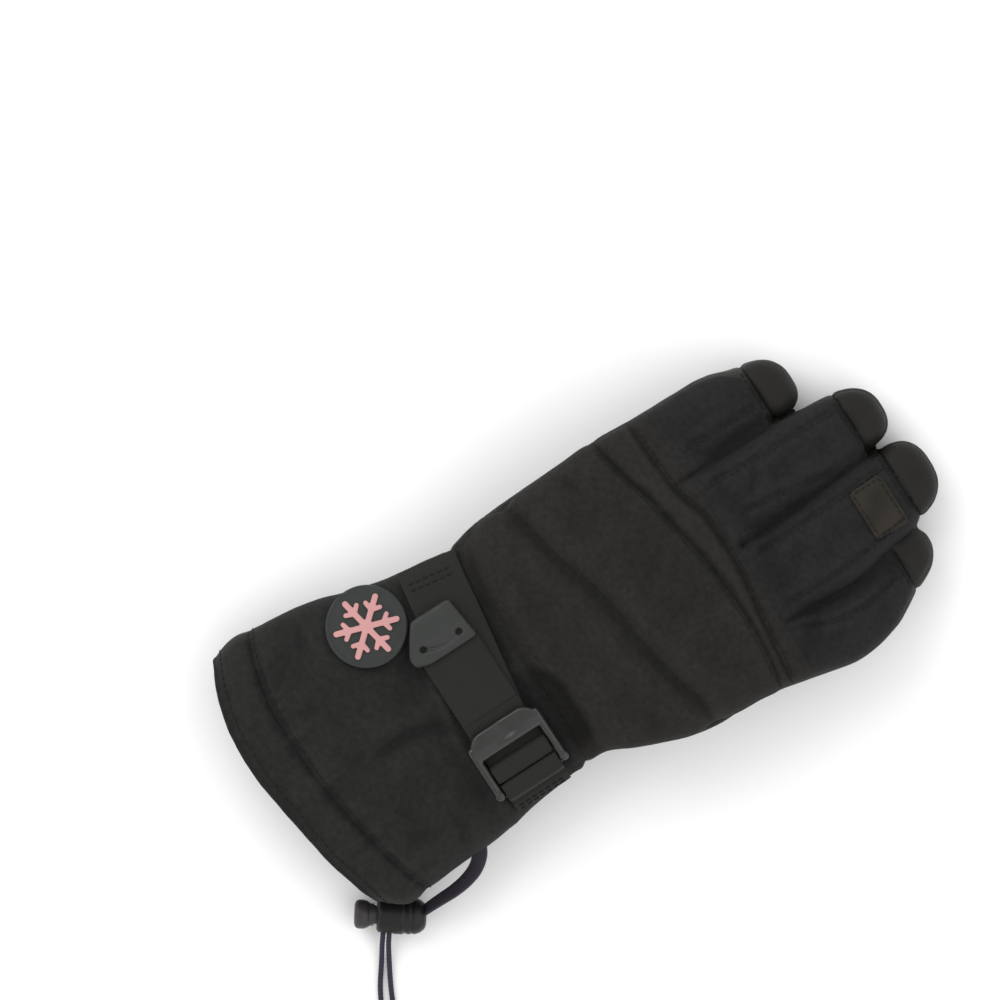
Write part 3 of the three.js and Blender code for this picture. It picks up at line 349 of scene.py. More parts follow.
def joined(forms):
    """Several forms as one."""
    points, faces, start = [], [], 0
    for form_points, form_faces in forms:
        points.append(form_points)
        faces += [tuple(i + start for i in face) for face in form_faces]
        start += len(form_points)
    return np.vstack(points), faces


def mesh_object(name, points, faces, smooth=True):
    """Pattern points and faces as an object in the frame."""
    mesh = bpy.data.meshes.new(name)
    mesh.from_pydata([tuple(p) for p in in_frame(points)], [], [tuple(f) for f in faces])
    mesh.update()
    made = bpy.data.objects.new(name, mesh)
    bpy.context.scene.collection.objects.link(made)
    if smooth:
        mesh.polygons.foreach_set("use_smooth", [True] * len(mesh.polygons))
    return made


def facing_out(made):
    """Turns all faces of a closed mesh outwards."""
    work = bmesh.new()
    work.from_mesh(made.data)
    bmesh.ops.recalc_face_normals(work, faces=work.faces)
    work.to_mesh(made.data)
    work.free()
    return made


def merged(points, faces, voxel):
    """Overlapping closed forms as one even triangle mesh: pattern points and triangles."""
    rough = facing_out(mesh_object("rough", points, faces))
    modifier = rough.modifiers.new("merge", "REMESH")
    modifier.mode = "VOXEL"
    modifier.voxel_size = voxel * MM
    graph = bpy.context.evaluated_depsgraph_get()
    mesh = rough.evaluated_get(graph).to_mesh()
    mesh.calc_loop_triangles()
    found = np.zeros(len(mesh.vertices) * 3)
    mesh.vertices.foreach_get("co", found)
    triangles = np.zeros(len(mesh.loop_triangles) * 3, int)
    mesh.loop_triangles.foreach_get("vertices", triangles)
    bpy.data.objects.remove(rough)
    return (found.reshape(-1, 3) - ORIGIN) / MM, triangles.reshape(-1, 3)


def edges_of(triangles):
    pairs = np.vstack([triangles[:, [0, 1]], triangles[:, [1, 2]], triangles[:, [2, 0]]])
    return np.unique(np.sort(pairs, axis=1), axis=0)


def neighbour_mean(values, edges):
    """Mean of each point's neighbours, for any number of columns."""
    values = values.reshape(len(values), -1)
    a, b = edges.T
    count = np.bincount(a, minlength=len(values)) + np.bincount(b, minlength=len(values))
    total = [
        np.bincount(a, weights=values[b, k], minlength=len(values))
        + np.bincount(b, weights=values[a, k], minlength=len(values))
        for k in range(values.shape[1])
    ]
    return np.stack(total, axis=1) / np.maximum(count, 1)[:, None]


def evened(points, edges, rounds, shrink=0.5, grow=-0.52):
    """Smooths away the voxel steps and swells back what smoothing takes."""
    for _ in range(rounds):
        for amount in (shrink, grow):
            points = points + amount * (neighbour_mean(points, edges) - points)
    return points


def normals_of(points, triangles):
    a, b, c = (points[triangles[:, k]] for k in range(3))
    flat = np.cross(b - a, c - a)
    total = np.stack(
        [
            sum(np.bincount(triangles[:, k], weights=flat[:, axis], minlength=len(points)) for k in range(3))
            for axis in range(3)
        ],
        axis=1,
    )
    return total / np.maximum(np.linalg.norm(total, axis=1), 1e-9)[:, None]


def dressed(made, body, slot, *materials, replaces=()):
    """Gives a piece its finish, its body and the nodes that it stands for."""
    for material in materials:
        made.data.materials.append(material)
    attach(made, body)
    if replaces:
        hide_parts(*replaces)
    return made


def uv_from(made, values):
    """Stores a pair of metres for every point as the piece's own cloth coordinates."""
    layer = made.data.uv_layers.new(name="cloth")
    corners = np.zeros(len(made.data.loops), int)
    made.data.loops.foreach_get("vertex_index", corners)
    layer.data.foreach_set("uv", np.asarray(values, float)[corners].ravel())


print("mesh tools are ready")

# %% [markdown]
# The hem drawcord. Two strands of 2.2 mm braided cord leave the hem's thumb side corner, run
# through the cord lock and lie on the table to a moulded cord end. Their routes are the CAD's, in
# barrel diameters from the middle of the lock. Each strand is a tube with a slight plait.

# %% Smooth routes and tubes
def smooth_route(points, count):
    """Evenly spaced points on a smooth curve through the given ones."""
    points = np.asarray(points, float)
    padded = np.vstack([2 * points[0] - points[1], points, 2 * points[-1] - points[-2]])
    fine = []
    for i in range(len(points) - 1):
        p0, p1, p2, p3 = padded[i:i + 4]
        for t in np.linspace(0, 1, 24, endpoint=False):
            fine.append(
                0.5 * (2 * p1 + (p2 - p0) * t + (2 * p0 - 5 * p1 + 4 * p2 - p3) * t**2
                       + (3 * p1 - p0 - 3 * p2 + p3) * t**3)
            )
    fine.append(points[-1])
    return evenly(np.array(fine), count)


def evenly(points, count):
    steps = np.linalg.norm(np.diff(points, axis=0), axis=1)
    reach = np.concatenate([[0], np.cumsum(steps)])
    wanted = np.linspace(0, reach[-1], count)
    return np.stack([np.interp(wanted, reach, points[:, k]) for k in range(points.shape[1])], axis=1)


def frames_along(route, up=(0, 0, 1)):
    """Direction, side and upright at each point of a route."""
    ways = np.gradient(route, axis=0)
    ways /= np.linalg.norm(ways, axis=1)[:, None]
    sides = np.cross(np.asarray(up, float), ways)
    sides /= np.linalg.norm(sides, axis=1)[:, None]
    return ways, sides, np.cross(ways, sides)


def length_of(route):
    return float(np.linalg.norm(np.diff(route, axis=0), axis=1).sum())


def tube(route, radius, sides=12, plait=0.0, pitch=1.0):
    """A round tube on a route, with a plait's diamond relief: points, faces and cloth coordinates."""
    _, across, upright = frames_along(route)
    reach = np.concatenate([[0], np.cumsum(np.linalg.norm(np.diff(route, axis=0), axis=1))])
    rings, grid = [], []
    for p, x, z, s in zip(route, across, upright, reach):
        angles = 2 * np.pi * np.arange(sides) / sides
        lift = plait * np.abs(np.sin(2 * angles + np.pi * s / pitch) * np.sin(2 * angles - np.pi * s / pitch))
        r = radius - plait + lift
        rings.append(p + r[:, None] * (np.cos(angles)[:, None] * x + np.sin(angles)[:, None] * z))
        grid += [(a * radius * MM, s * MM) for a in angles]
    points, faces = skin(rings)
    grid += [(0.0, 0.0)] * (len(points) - len(grid))
    return points, faces, grid


STRAND = 2.2
BARREL = 15.0
LOCK_PLACE = np.array([65.04, -1.3, 0.0])
FLOOR_CLEAR = (STRAND / 2 + 0.3) / BARREL
STRAND_ROUTES = {
    "upper": [
        (-0.363, 0.36, 0.5), (0.051, 0.07, 0.5), (0.457, -0.22, 0.467), (0.684, -0.387, 0.373),
        (1.084, -0.633, 0.16), (1.784, -1.02, FLOOR_CLEAR), (2.397, -1.3, 0.127), (3.024, -1.573, 0.24),
    ],
    "lower": [
        (-0.456, 0.22, 0.5), (-0.043, -0.067, 0.5), (0.364, -0.357, 0.467), (0.591, -0.533, 0.373),
        (0.957, -0.793, 0.16), (1.611, -1.26, FLOOR_CLEAR), (2.257, -1.567, 0.127), (2.977, -1.72, 0.24),
    ],
}
routes = {
    name: smooth_route(LOCK_PLACE + BARREL * np.array(route), 150) for name, route in STRAND_ROUTES.items()
}
strands = {}
for name, route in routes.items():
    points, faces, grid = tube(route, STRAND / 2, sides=16, plait=0.12, pitch=1.6)
    strand = mesh_object(f"drawcord_strand_{name}_braid", points, faces)
    uv_from(strand, grid)
    strands[name] = dressed(strand, "glove", "cord", CORD, replaces=(f"drawcord_strand_{name}",))
    print("strand", name, "length, mm:", round(length_of(route), 1))

# %% [markdown]
# The cord end is a moulded cone that both strands are crimped into. It is turned from a profile,
# with two grip grooves and a soft round rim, and lies on the table at its widest.

# %% Cord end
def lathe(profile, sides=64):
    """Turns (radius, place along +x) pairs round the x axis."""
    angles = 2 * np.pi * np.arange(sides) / sides
    rings = [
        np.stack([np.full(sides, x), r * np.cos(angles), r * np.sin(angles)], axis=1)
        for r, x in profile
    ]
    return skin(rings)


def rounded_profile(corners, step=0.25):
    """A turned profile with its corners eased, as a mould has them."""
    corners = np.asarray(corners, float)
    fine = evenly(corners, int(length_of(corners) / step) + 2)
    for _ in range(3):
        fine[1:-1] = (fine[:-2] + 2 * fine[1:-1] + fine[2:]) / 4
    fine[:, 0] = np.maximum(fine[:, 0], 0.01)
    return fine


END_LENGTH = 24.0
NECK = 3.2
WIDE = 6.0
END_TURN = math.radians(-20)
END_TILT = math.atan2(NECK - WIDE, END_LENGTH) * 0.9
end_profile = rounded_profile([
    (0, 0), (NECK - 0.4, 0), (NECK, 0.7), (NECK, 3.4), (NECK + 0.4, 4.0), (NECK + 0.9, 8.2),
    (NECK + 0.55, 8.6), (NECK + 0.6, 9.4), (NECK + 1.1, 9.8), (NECK + 1.25, 11.4), (NECK + 0.9, 11.8),
    (NECK + 0.95, 12.6), (NECK + 1.45, 13.0), (WIDE - 0.2, END_LENGTH - 4.5), (WIDE - 0.4, END_LENGTH - 1.8),
    (WIDE - 2.0, END_LENGTH - 0.1), (WIDE - 2.6, END_LENGTH), (2.6, END_LENGTH), (2.3, END_LENGTH - 1.2),
    (0, END_LENGTH - 1.2),
])
points, faces = lathe(end_profile)
strand_ends = np.array([route[-1] for route in routes.values()]).mean(axis=0)
end_place = strand_ends + np.array([0.4, -0.15, 0.3])
spin = (Matrix.Rotation(END_TURN, 3, "Z") @ Matrix.Rotation(END_TILT, 3, "Y"))
points = points @ np.array(spin).T + end_place
cord_end = facing_out(mesh_object("cord_end_cone", points, faces))
dressed(cord_end, "glove", "cord_lock_plastic", LOCK_ACETAL, replaces=("drawcord_end",))
for name, strand in strands.items():
    route = routes[name]
    in_frame(route[0])
    length_of(route) * MM
    in_frame(route)
print("cord end lies from", np.round(points.min(axis=0), 1), "to", np.round(points.max(axis=0), 1), "mm")

# %% [markdown]
# The shell's pattern: sections of the cuff and hand, and of each finger, as the CAD has them. Each
# row says how far along it lies, where its left and right sides are, and its lowest and highest
# place. Sections are rounded boxes, squarer below, where the padding lies on the table.

# %% Shell tables
CUFF = {"length": 100.0, "width": 126.0, "height": 44.0}
HAND = {"length": 96.0, "width": 124.0, "height": 60.0}
FINGER_HEIGHT = 54.0
WRIST_Y = CUFF["length"]
ROOT_Y = WRIST_Y + HAND["length"]
CUFF_ROWS = [
    (0.0, -0.468, 0.46, -0.02, 0.88), (0.08, -0.486, 0.502, -0.02, 0.95), (0.16, -0.488, 0.518, -0.02, 1.0),
    (0.3, -0.476, 0.51, -0.02, 1.04), (0.47, -0.448, 0.5, -0.02, 1.04), (0.62, -0.412, 0.484, -0.015, 0.99),
    (0.75, -0.385, 0.472, 0.01, 0.95), (0.88, -0.368, 0.462, 0.08, 0.95),
]
HAND_ROWS = [
    (0.0, -0.363, 0.46, 0.15, 0.74), (0.1, -0.379, 0.458, 0.24, 0.84), (0.21, -0.387, 0.5, 0.33, 0.93),
    (0.32, -0.395, 0.535, 0.37, 0.97), (0.5, -0.4, 0.573, 0.375, 1.0), (0.68, -0.4, 0.583, 0.37, 1.0),
    (0.84, -0.398, 0.6, 0.35, 0.97), (1.0, -0.395, 0.625, 0.31, 0.9),
]
FINGERS = {
    "little": (57.0, -0.226, [
        (0.0, -0.394, -0.1425, 0.37, 0.9), (0.25, -0.389, -0.1435, 0.26, 0.82),
        (0.5, -0.381, -0.1405, 0.14, 0.7), (0.74, -0.347, -0.134, 0.0, 0.52),
    ]),
    "ring": (81.5, 0.008, [
        (0.0, -0.1395, 0.1355, 0.33, 0.95), (0.33, -0.1375, 0.1305, 0.2, 0.86),
        (0.6, -0.121, 0.121, 0.08, 0.7), (0.82, -0.107, 0.107, -0.015, 0.49),
    ]),
    "middle": (85.5, 0.24, [
        (0.0, 0.1385, 0.418, 0.33, 0.95), (0.33, 0.1345, 0.4365, 0.2, 0.88),
        (0.58, 0.1285, 0.418, 0.09, 0.73), (0.82, 0.129, 0.377, -0.015, 0.5),
    ]),
    "index": (68.0, 0.452, [
        (0.0, 0.421, 0.624, 0.34, 0.88), (0.3, 0.438, 0.655, 0.23, 0.84),
        (0.55, 0.445, 0.637, 0.12, 0.7), (0.78, 0.424, 0.569, 0.0, 0.5),
    ]),
}


def sized(rows, start, length, width, height):
    """Table rows in millimetres: y, left, right, low, high."""
    return np.array([(start + a * length, l * width, r * width, b * height, t * height) for a, l, r, b, t in rows])


SHELL = np.vstack([
    sized(CUFF_ROWS, 0, *CUFF.values()),
    sized(HAND_ROWS, WRIST_Y, *HAND.values()),
])
FINGER_ROWS = {
    name: sized(rows, ROOT_Y, length, HAND["width"], FINGER_HEIGHT) for name, (length, _, rows) in FINGERS.items()
}


def table_at(rows, y):
    """Left, right, low and high at one or many y, smooth between the rows."""
    y = np.asarray(y, float)
    i = np.clip(np.searchsorted(rows[:, 0], y, side="right") - 1, 0, len(rows) - 2)
    a, b = rows[i], rows[i + 1]
    before, after = rows[np.maximum(i - 1, 0)], rows[np.minimum(i + 2, len(rows) - 1)]
    span = b[..., 0] - a[..., 0]
    t = ((y - a[..., 0]) / span)[..., None]
    slope_a = (b - before) / (b[..., 0] - before[..., 0])[..., None] * span[..., None]
    slope_b = (after - a) / (after[..., 0] - a[..., 0])[..., None] * span[..., None]
    value = (
        (2 * t**3 - 3 * t**2 + 1) * a + (t**3 - 2 * t**2 + t) * slope_a
        + (-2 * t**3 + 3 * t**2) * b + (t**3 - t**2) * slope_b
    )
    return value[..., 1:]


names = list(FINGERS)


def between(first, second):
    """x of the slit between two fingers, along y."""
    def at(y):
        y = np.maximum(y, ROOT_Y)
        low = table_at(FINGER_ROWS[first], np.minimum(y, FINGER_ROWS[first][-1, 0]))[..., 1]
        high = table_at(FINGER_ROWS[second], np.minimum(y, FINGER_ROWS[second][-1, 0]))[..., 0]
        return (low + high) / 2
    return at


SLITS = [between(names[i], names[i + 1]) for i in range(3)]
NOTCHES = (239.5, 265.0, 266.0)
print("slits between the fingers at their roots, mm:", [round(float(slit(ROOT_Y)), 1) for slit in SLITS])

# %% [markdown]
# The mouth of the cuff isn't straight: the middle of the hem sags towards the wearer. One function
# gives that sag, and its inverse says which row of the pattern a place on the glove came from.

# %% Hem sag and sections
HEM_BOW = 13.0
HEM_LOW_X = -0.16 * CUFF["width"]
HEM_LEFT_X = -0.47 * CUFF["width"]
HEM_RIGHT_X = 0.62 * CUFF["width"]
UPPER_ROUND = 2.7
LOWER_ROUND = 3.6


def hem_sag(x):
    x = np.asarray(x, float)
    left = x < HEM_LOW_X
    edge = np.where(left, HEM_LEFT_X, HEM_RIGHT_X)
    rise = HEM_BOW * np.where(left, 0.8, 1.6)
    return rise * ((x - HEM_LOW_X) / (edge - HEM_LOW_X)) ** 2 - HEM_BOW


def sagged(x, y):
    return y + hem_sag(x) * np.maximum(0, 1 - y / WRIST_Y)


def pattern_y(x, y):
    """Undoes the sag: the pattern's own y of a place on the glove."""
    sag = hem_sag(x)
    return np.where(y < WRIST_Y, (y - sag) / (1 - sag / WRIST_Y), y)


def rounded_section(sides, half_width, half_height, upper=UPPER_ROUND, lower=LOWER_ROUND):
    angles = 2 * np.pi * np.arange(sides) / sides
    power = 2 / np.where(angles < np.pi, upper, lower)
    c, s = np.cos(angles), np.sin(angles)
    return half_width * np.sign(c) * np.abs(c) ** power, half_height * np.sign(s) * np.abs(s) ** power


def shell_ring(y, grow=0.0, scale=1.0, sides=120, at=None):
    left, right, low, high = table_at(SHELL, y if at is None else at)
    u, v = rounded_section(sides, ((right - left) / 2 + grow) * scale, ((high - low) / 2 + grow) * scale)
    x = (left + right) / 2 + u
    z = np.maximum((low + high) / 2 + v, -grow + 0.05)
    return np.stack([x, sagged(x, np.full(sides, y)), z], axis=1)


print("hem sag at the middle and corners, mm:", np.round(hem_sag([-20, -58, 58]), 1))

# %% [markdown]
# The stuffed body. Hand, fingers and thumb are lofted as separate closed forms that reach into
# each other, and a voxel remesh merges them into one skin, as the lining pushes the real panels
# out into one soft shape. Neighbouring fingers press on each other along a slit as far as the
# notch between their tips. The forms run well past the hem, where the mouth is cut open later.

# %% Lofts of hand, fingers and thumb
PAST_HEM = 25.0
FLARE_END = -5.0
TIP_STEPS = 12
PRESS = 0.5
FINGER_ROUND = 3.3


def shell_loft():
    stations = [-PAST_HEM, FLARE_END, *np.arange(0, ROOT_Y + 0.1, 2.0)]
    rings = [shell_ring(y, at=max(y, FLARE_END)) for y in stations]
    for turn in np.linspace(0.25, 1.5, 8):
        ring = shell_ring(ROOT_Y, scale=math.cos(turn) * 0.6 + 0.4)
        ring[:, 1] += 9 * math.sin(turn)
        rings.append(ring)
    return skin(rings)


def finger_loft(name, sides=96):
    length, tip, _ = FINGERS[name]
    rows = FINGER_ROWS[name]
    dome_start = rows[-1, 0]
    reach = ROOT_Y + length - dome_start

    k = names.index(name)

    def ring(y, at, scale=1.0, slide=0.0, sink=0.0):
        left, right, low, high = table_at(rows, at)
        if k > 0:
            left += (1 - gentle(y, NOTCHES[k - 1] - 9, NOTCHES[k - 1])) * (SLITS[k - 1](y) - PRESS - left)
        if k < 3:
            right += (1 - gentle(y, NOTCHES[k] - 9, NOTCHES[k])) * (SLITS[k](y) + PRESS - right)
        half = (right - left) / 2 * scale
        u, v = rounded_section(sides, half, (high - low) / 2 * scale, upper=FINGER_ROUND)
        middle = (left + right) / 2 * (1 - slide) + tip * HAND["width"] * slide
        z = np.maximum((low + high) / 2 + v - sink, 0.05)
        return np.stack([middle + u, np.full(sides, y), z], axis=1)

    rings = [ring(ROOT_Y - back, ROOT_Y, scale, 0.0, sink) for back, scale, sink in ((22, 0.6, 4), (10, 0.85, 2))]
    rings += [ring(y, y) for y in np.linspace(ROOT_Y, dome_start, 30)]
    for turn in np.linspace(0, math.pi / 2, TIP_STEPS + 1)[1:-1]:
        far = math.sin(turn)
        rings.append(ring(dome_start + reach * far, dome_start, (1 - far**2.35) ** (1 / 2.35), far))
    rings.append(ring(dome_start + reach, dome_start, 0.04, 1.0))
    return skin(rings)


THUMB = {"width": 29.0, "thickness": 21.0, "reach": 64.0, "turn": math.radians(24)}
THUMB_ROOT = np.array([0.365 * HAND["width"], WRIST_Y + 0.26 * HAND["length"], 0.0])


def thumb_loft(sides=72):
    forward = np.array([-math.sin(THUMB["turn"]), math.cos(THUMB["turn"]), 0])
    across = np.array([forward[1], -forward[0], 0])
    up = np.array([0, 0, 1])
    lift = THUMB["thickness"] / 2
    bend = THUMB["thickness"] * 0.75
    rings = []

    def ring(ahead, height, lean, scale):
        normal = forward * math.sin(lean) + up * math.cos(lean)
        middle = THUMB_ROOT + forward * ahead + up * height
        u, v = rounded_section(sides, THUMB["width"] / 2 * scale, lift * scale)
        rings.append(middle + u[:, None] * across + v[:, None] * normal)

    ring(0, 34, math.pi / 2, 0.9)
    for turn in np.linspace(0, math.pi / 2, 12):
        ring(bend * (1 - math.cos(turn)), lift + bend * (1 - math.sin(turn)), math.pi / 2 - turn, 1)
    straight = THUMB["reach"] - THUMB["width"] / 2
    for share in np.linspace(0.1, 1, 12):
        ring(bend + (straight - bend) * share, lift, 0, 1)
    for turn in np.linspace(0, math.pi / 2, TIP_STEPS + 1)[1:-1]:
        ring(straight + THUMB["width"] / 2 * math.sin(turn), lift, 0, math.cos(turn) ** 0.92)
    ring(straight + THUMB["width"] / 2, lift, 0, 0.04)
    return skin(rings)


thumb_form = thumb_loft()
hand_form = joined([shell_loft(), *[finger_loft(name) for name in FINGERS]])
print("loft points:", len(hand_form[0]), "and thumb", len(thumb_form[0]))

# %% [markdown]
# Merging. A voxel of about 1 mm keeps the slits between the fingers. Where the fingers leave the
# hand the skin is smoothed more, because the padding there runs on from one to the other. Each
# point is asked whether the thumb's own form is nearer than the hand's: that is the thumb's seam.

# %% Merged body
VOXEL = 1.05
body_points, body_faces = merged(*joined([hand_form, thumb_form]), VOXEL)
body_edges = edges_of(body_faces)
body_points = evened(body_points, body_edges, 6)
root_band = gentle(body_points[:, 1], 184, 192) * (1 - gentle(body_points[:, 1], 203, 212))
root_band *= gentle(body_points[:, 2], 18, 26)
hand_tree = BVHTree.FromPolygons([tuple(p) for p in hand_form[0]], [tuple(f) for f in hand_form[1]])
thumb_tree = BVHTree.FromPolygons([tuple(p) for p in thumb_form[0]], [tuple(f) for f in thumb_form[1]])


def thumb_side(points):
    """Below zero on the thumb, above zero on the rest."""
    found = np.full(len(points), 10.0)
    low = np.nonzero((points[:, 2] < 32) & (points[:, 0] > 0) & (points[:, 1] > 105) & (points[:, 1] < 200))[0]
    for i in low:
        p = Vector(points[i])
        found[i] = thumb_tree.find_nearest(p)[3] - hand_tree.find_nearest(p)[3]
    return found


under = gentle(body_points[:, 1], 156, 168) * (1 - gentle(body_points[:, 1], 200, 210))
under *= gentle(thumb_side(body_points), 0.5, 4.0) * (1 - gentle(body_points[:, 2], 24, 30))
root_band = np.maximum(root_band, under)
for _ in range(45):
    body_points += 0.5 * root_band[:, None] * (neighbour_mean(body_points, body_edges) - body_points)
in_slit = np.zeros(len(body_points))
for slit, notch in zip(SLITS, NOTCHES):
    away = np.abs(body_points[:, 0] - slit(body_points[:, 1]))
    reach = gentle(body_points[:, 1], ROOT_Y - 4, ROOT_Y + 4) * (1 - gentle(body_points[:, 1], notch - 9, notch - 1))
    in_slit = np.maximum(in_slit, (1 - gentle(away, 2.5, 6.5)) * reach)
for _ in range(60):
    body_points += 0.5 * in_slit[:, None] * (neighbour_mean(body_points, body_edges) - body_points)
form = {
    "points": body_points,
    "rest": body_points.copy(),
    "thumb": thumb_side(body_points),
    "faces": body_faces,
}
print("merged skin:", len(body_points), "points,", len(body_faces), "triangles")

# %% [markdown]
# Seams are cut into the skin as lines of points, so a panel ends exactly on its seam and not on a
# jagged row of triangles. A field is below zero on one side of a seam and above it on the other.
# Points that almost lie on the line slide onto it, and edges that cross it get a new point.

# %% Cutting the skin along seams
SLIDE_SHARE = 0.25


def cut(form, value):
    """Adds a line of points where value is zero; value is one number a point."""
    faces = form["faces"]
    columns = ("points", "rest")
    value = value.copy()
    edges = edges_of(faces)
    a, b = edges.T
    crossing = value[a] * value[b] < 0
    share = np.where(crossing, value[a] / np.where(crossing, value[a] - value[b], 1.0), 0.5)
    before = {key: form[key].copy() for key in (*columns, "thumb")}
    moved = np.zeros(len(value), bool)
    for ends, others, part in ((a, b, share), (b, a, 1 - share)):
        near = crossing & (part < SLIDE_SHARE)
        who, target, t = ends[near], others[near], part[near]
        for key in columns:
            form[key][who] = before[key][who] + (before[key][target] - before[key][who]) * t[:, None]
        form["thumb"][who] = before["thumb"][who] + (before["thumb"][target] - before["thumb"][who]) * t
        moved[who] = True
    value[moved] = 0
    crossing = value[a] * value[b] < 0
    a, b = a[crossing], b[crossing]
    if not len(a):
        return value
    t = value[a] / (value[a] - value[b])
    start = len(value)
    for key in columns:
        form[key] = np.vstack([form[key], form[key][a] + (form[key][b] - form[key][a]) * t[:, None]])
    thumb = form["thumb"]
    form["thumb"] = np.concatenate([thumb, thumb[a] + (thumb[b] - thumb[a]) * t])
    keys = a.astype(np.int64) * start + b
    order = np.argsort(keys)
    keys, new = keys[order], (start + np.arange(len(a)))[order]

    def middle(i, j):
        wanted = np.minimum(i, j).astype(np.int64) * start + np.maximum(i, j)
        at = np.clip(np.searchsorted(keys, wanted), 0, len(keys) - 1)
        return np.where(keys[at] == wanted, new[at], -1)

    made = []
    mids = np.stack([middle(faces[:, k], faces[:, (k + 1) % 3]) for k in range(3)], axis=1)
    crossed = (mids >= 0).sum(axis=1)
    made.append(faces[crossed == 0])
    for k in range(3):
        i, j, o = (faces[:, (k + n) % 3] for n in range(3))
        m_ij, m_jo, m_oi = (mids[:, (k + n) % 3] for n in range(3))
        one = (crossed == 1) & (m_ij >= 0)
        made.append(np.stack([i, m_ij, o], axis=1)[one])
        made.append(np.stack([m_ij, j, o], axis=1)[one])
        two = (crossed == 2) & (m_jo < 0)
        made.append(np.stack([i, m_ij, m_oi], axis=1)[two])
        made.append(np.stack([m_ij, j, o], axis=1)[two])
        made.append(np.stack([m_ij, o, m_oi], axis=1)[two])
    form["faces"] = np.vstack(made)
    return np.concatenate([value, np.zeros(len(a))])


def curve_y(knots, x):
    """Height of a seam over x, smooth between its knots."""
    knots = np.array(knots, float)
    x = np.clip(x, knots[0, 0], knots[-1, 0])
    fine = smooth_route(np.column_stack([knots, np.zeros(len(knots))]), 200)
    return np.interp(x, fine[:, 0], fine[:, 1])


RIB_UPPER = [
    (-54, 186.5), (-48, 187), (-30, 187.5), (-15, 188.5), (0, 192.5), (20, 193), (45, 189.5),
    (70, 186.5), (80, 186),
]
RIB_LOWER = [
    (-54, 169), (-45, 172), (-30, 175), (-20, 178), (0, 181.5), (15, 184), (40, 185.2), (60, 184),
    (70, 182), (80, 180),
]
MID_SEAM = [
    (-56, 126), (-48, 127), (-40, 129), (-20, 133), (0, 139), (10, 141), (30, 143), (45, 146),
    (60, 150), (76, 152),
]
PATCH = {"x": 34.472, "y": 252.86, "half": (11.0, 7.5), "round": 2.0, "thickness": 0.85}
CAP_EDGES = {name: rows[-1, 0] for name, rows in FINGER_ROWS.items()}
HEM_SEAM = 16.0
SIDE_SEAM = 0.66 * HAND["height"]
WRIST_SEAM = 0.5 * HAND["height"]




def patch_field(points):
    """Below zero inside the wiping patch, a rectangle with rounded corners on the middle finger."""
    off = np.abs(points[:, :2] - (PATCH["x"], PATCH["y"])) - np.array(PATCH["half"]) + PATCH["round"]
    outside = np.linalg.norm(np.maximum(off, 0), axis=1)
    inside = np.minimum(off.max(axis=1), 0)
    return np.where(points[:, 2] > 20, outside + inside - PATCH["round"], 9.0)


def side_seam_z(y):
    """Height of the seam between the back of the glove and its palm side."""
    on_hand = np.interp(y, [WRIST_Y, WRIST_Y + 0.3 * HAND["length"]], [WRIST_SEAM, SIDE_SEAM])
    falling = np.interp(y - ROOT_Y, [0, 30, 60, 90], [SIDE_SEAM, 32.4, 22.7, 16.2])
    return np.where(y < ROOT_Y, on_hand, falling)


def seam_values():
    """One field for each seam, in cutting order."""
    def own(rest):
        return pattern_y(rest[:, 0], rest[:, 1])

    yield "mouth", lambda rest: own(rest)
    yield "hem", lambda rest: own(rest) - HEM_SEAM
    yield "wrist", lambda rest: own(rest) - WRIST_Y
    yield "roots", lambda rest: rest[:, 1] - ROOT_Y
    for k, slit in enumerate(SLITS):
        yield f"slit {k}", lambda rest, slit=slit: np.where(
            rest[:, 1] > ROOT_Y - 8, rest[:, 0] - slit(rest[:, 1]), 9.0
        )
    for k, (name, edge) in enumerate(CAP_EDGES.items()):
        def cap(rest, k=k, edge=edge):
            inside = np.ones(len(rest), bool)
            if k > 0:
                inside &= rest[:, 0] > SLITS[k - 1](rest[:, 1]) - 0.5
            if k < 3:
                inside &= rest[:, 0] < SLITS[k](rest[:, 1]) + 0.5
            return np.where(inside, rest[:, 1] - edge, 9.0)
        yield f"cap {name}", cap
    yield "side", lambda rest: np.where(rest[:, 1] > WRIST_Y - 2, rest[:, 2] - side_seam_z(rest[:, 1]), 9.0)
    for edge in (RIB_LOWER, RIB_UPPER):
        yield "rib", lambda rest, edge=edge: np.where(
            rest[:, 2] > SIDE_SEAM - 3, rest[:, 1] - curve_y(edge, rest[:, 0]), 9.0
        )
    yield "mid seam", lambda rest: np.where(
        rest[:, 2] > SIDE_SEAM - 6, rest[:, 1] - curve_y(MID_SEAM, rest[:, 0]), 9.0
    )
    yield "patch", patch_field


for label, field in seam_values():
    cut(form, field(form["rest"]))
    if label == "mouth":
        centre = form["rest"][form["faces"]].mean(axis=1)
        form["faces"] = form["faces"][pattern_y(centre[:, 0], centre[:, 1]) > 0]
cut(form, form["thumb"])
print("skin after cutting:", len(form["points"]), "points,", len(form["faces"]), "triangles")

# %% [markdown]
# The padding's relief. Stitching draws the cloth down along each seam and the wadding stands up on
# both sides of it. Between the seams the cloth lies in soft folds. All of it is moved along the
# skin's own direction, so the same rules work on the top, the sides and below.

# %% Distance to lines and soft noise
def line_distance(points, line):
    """Distance to a plan line and the place along it."""
    line = np.asarray(line, float)
    best = np.full(len(points), 1e9)
    along = np.zeros(len(points))
    start = 0.0
    for a, b in zip(line[:-1], line[1:]):
        way = b - a
        reach = np.linalg.norm(way)
        t = np.clip(((points - a) @ way) / reach**2, 0, 1)
        d = np.linalg.norm(points - a - t[:, None] * way, axis=1)
        nearer = d < best
        best = np.where(nearer, d, best)
        along = np.where(nearer, start + t * reach, along)
        start += reach
    return best, along


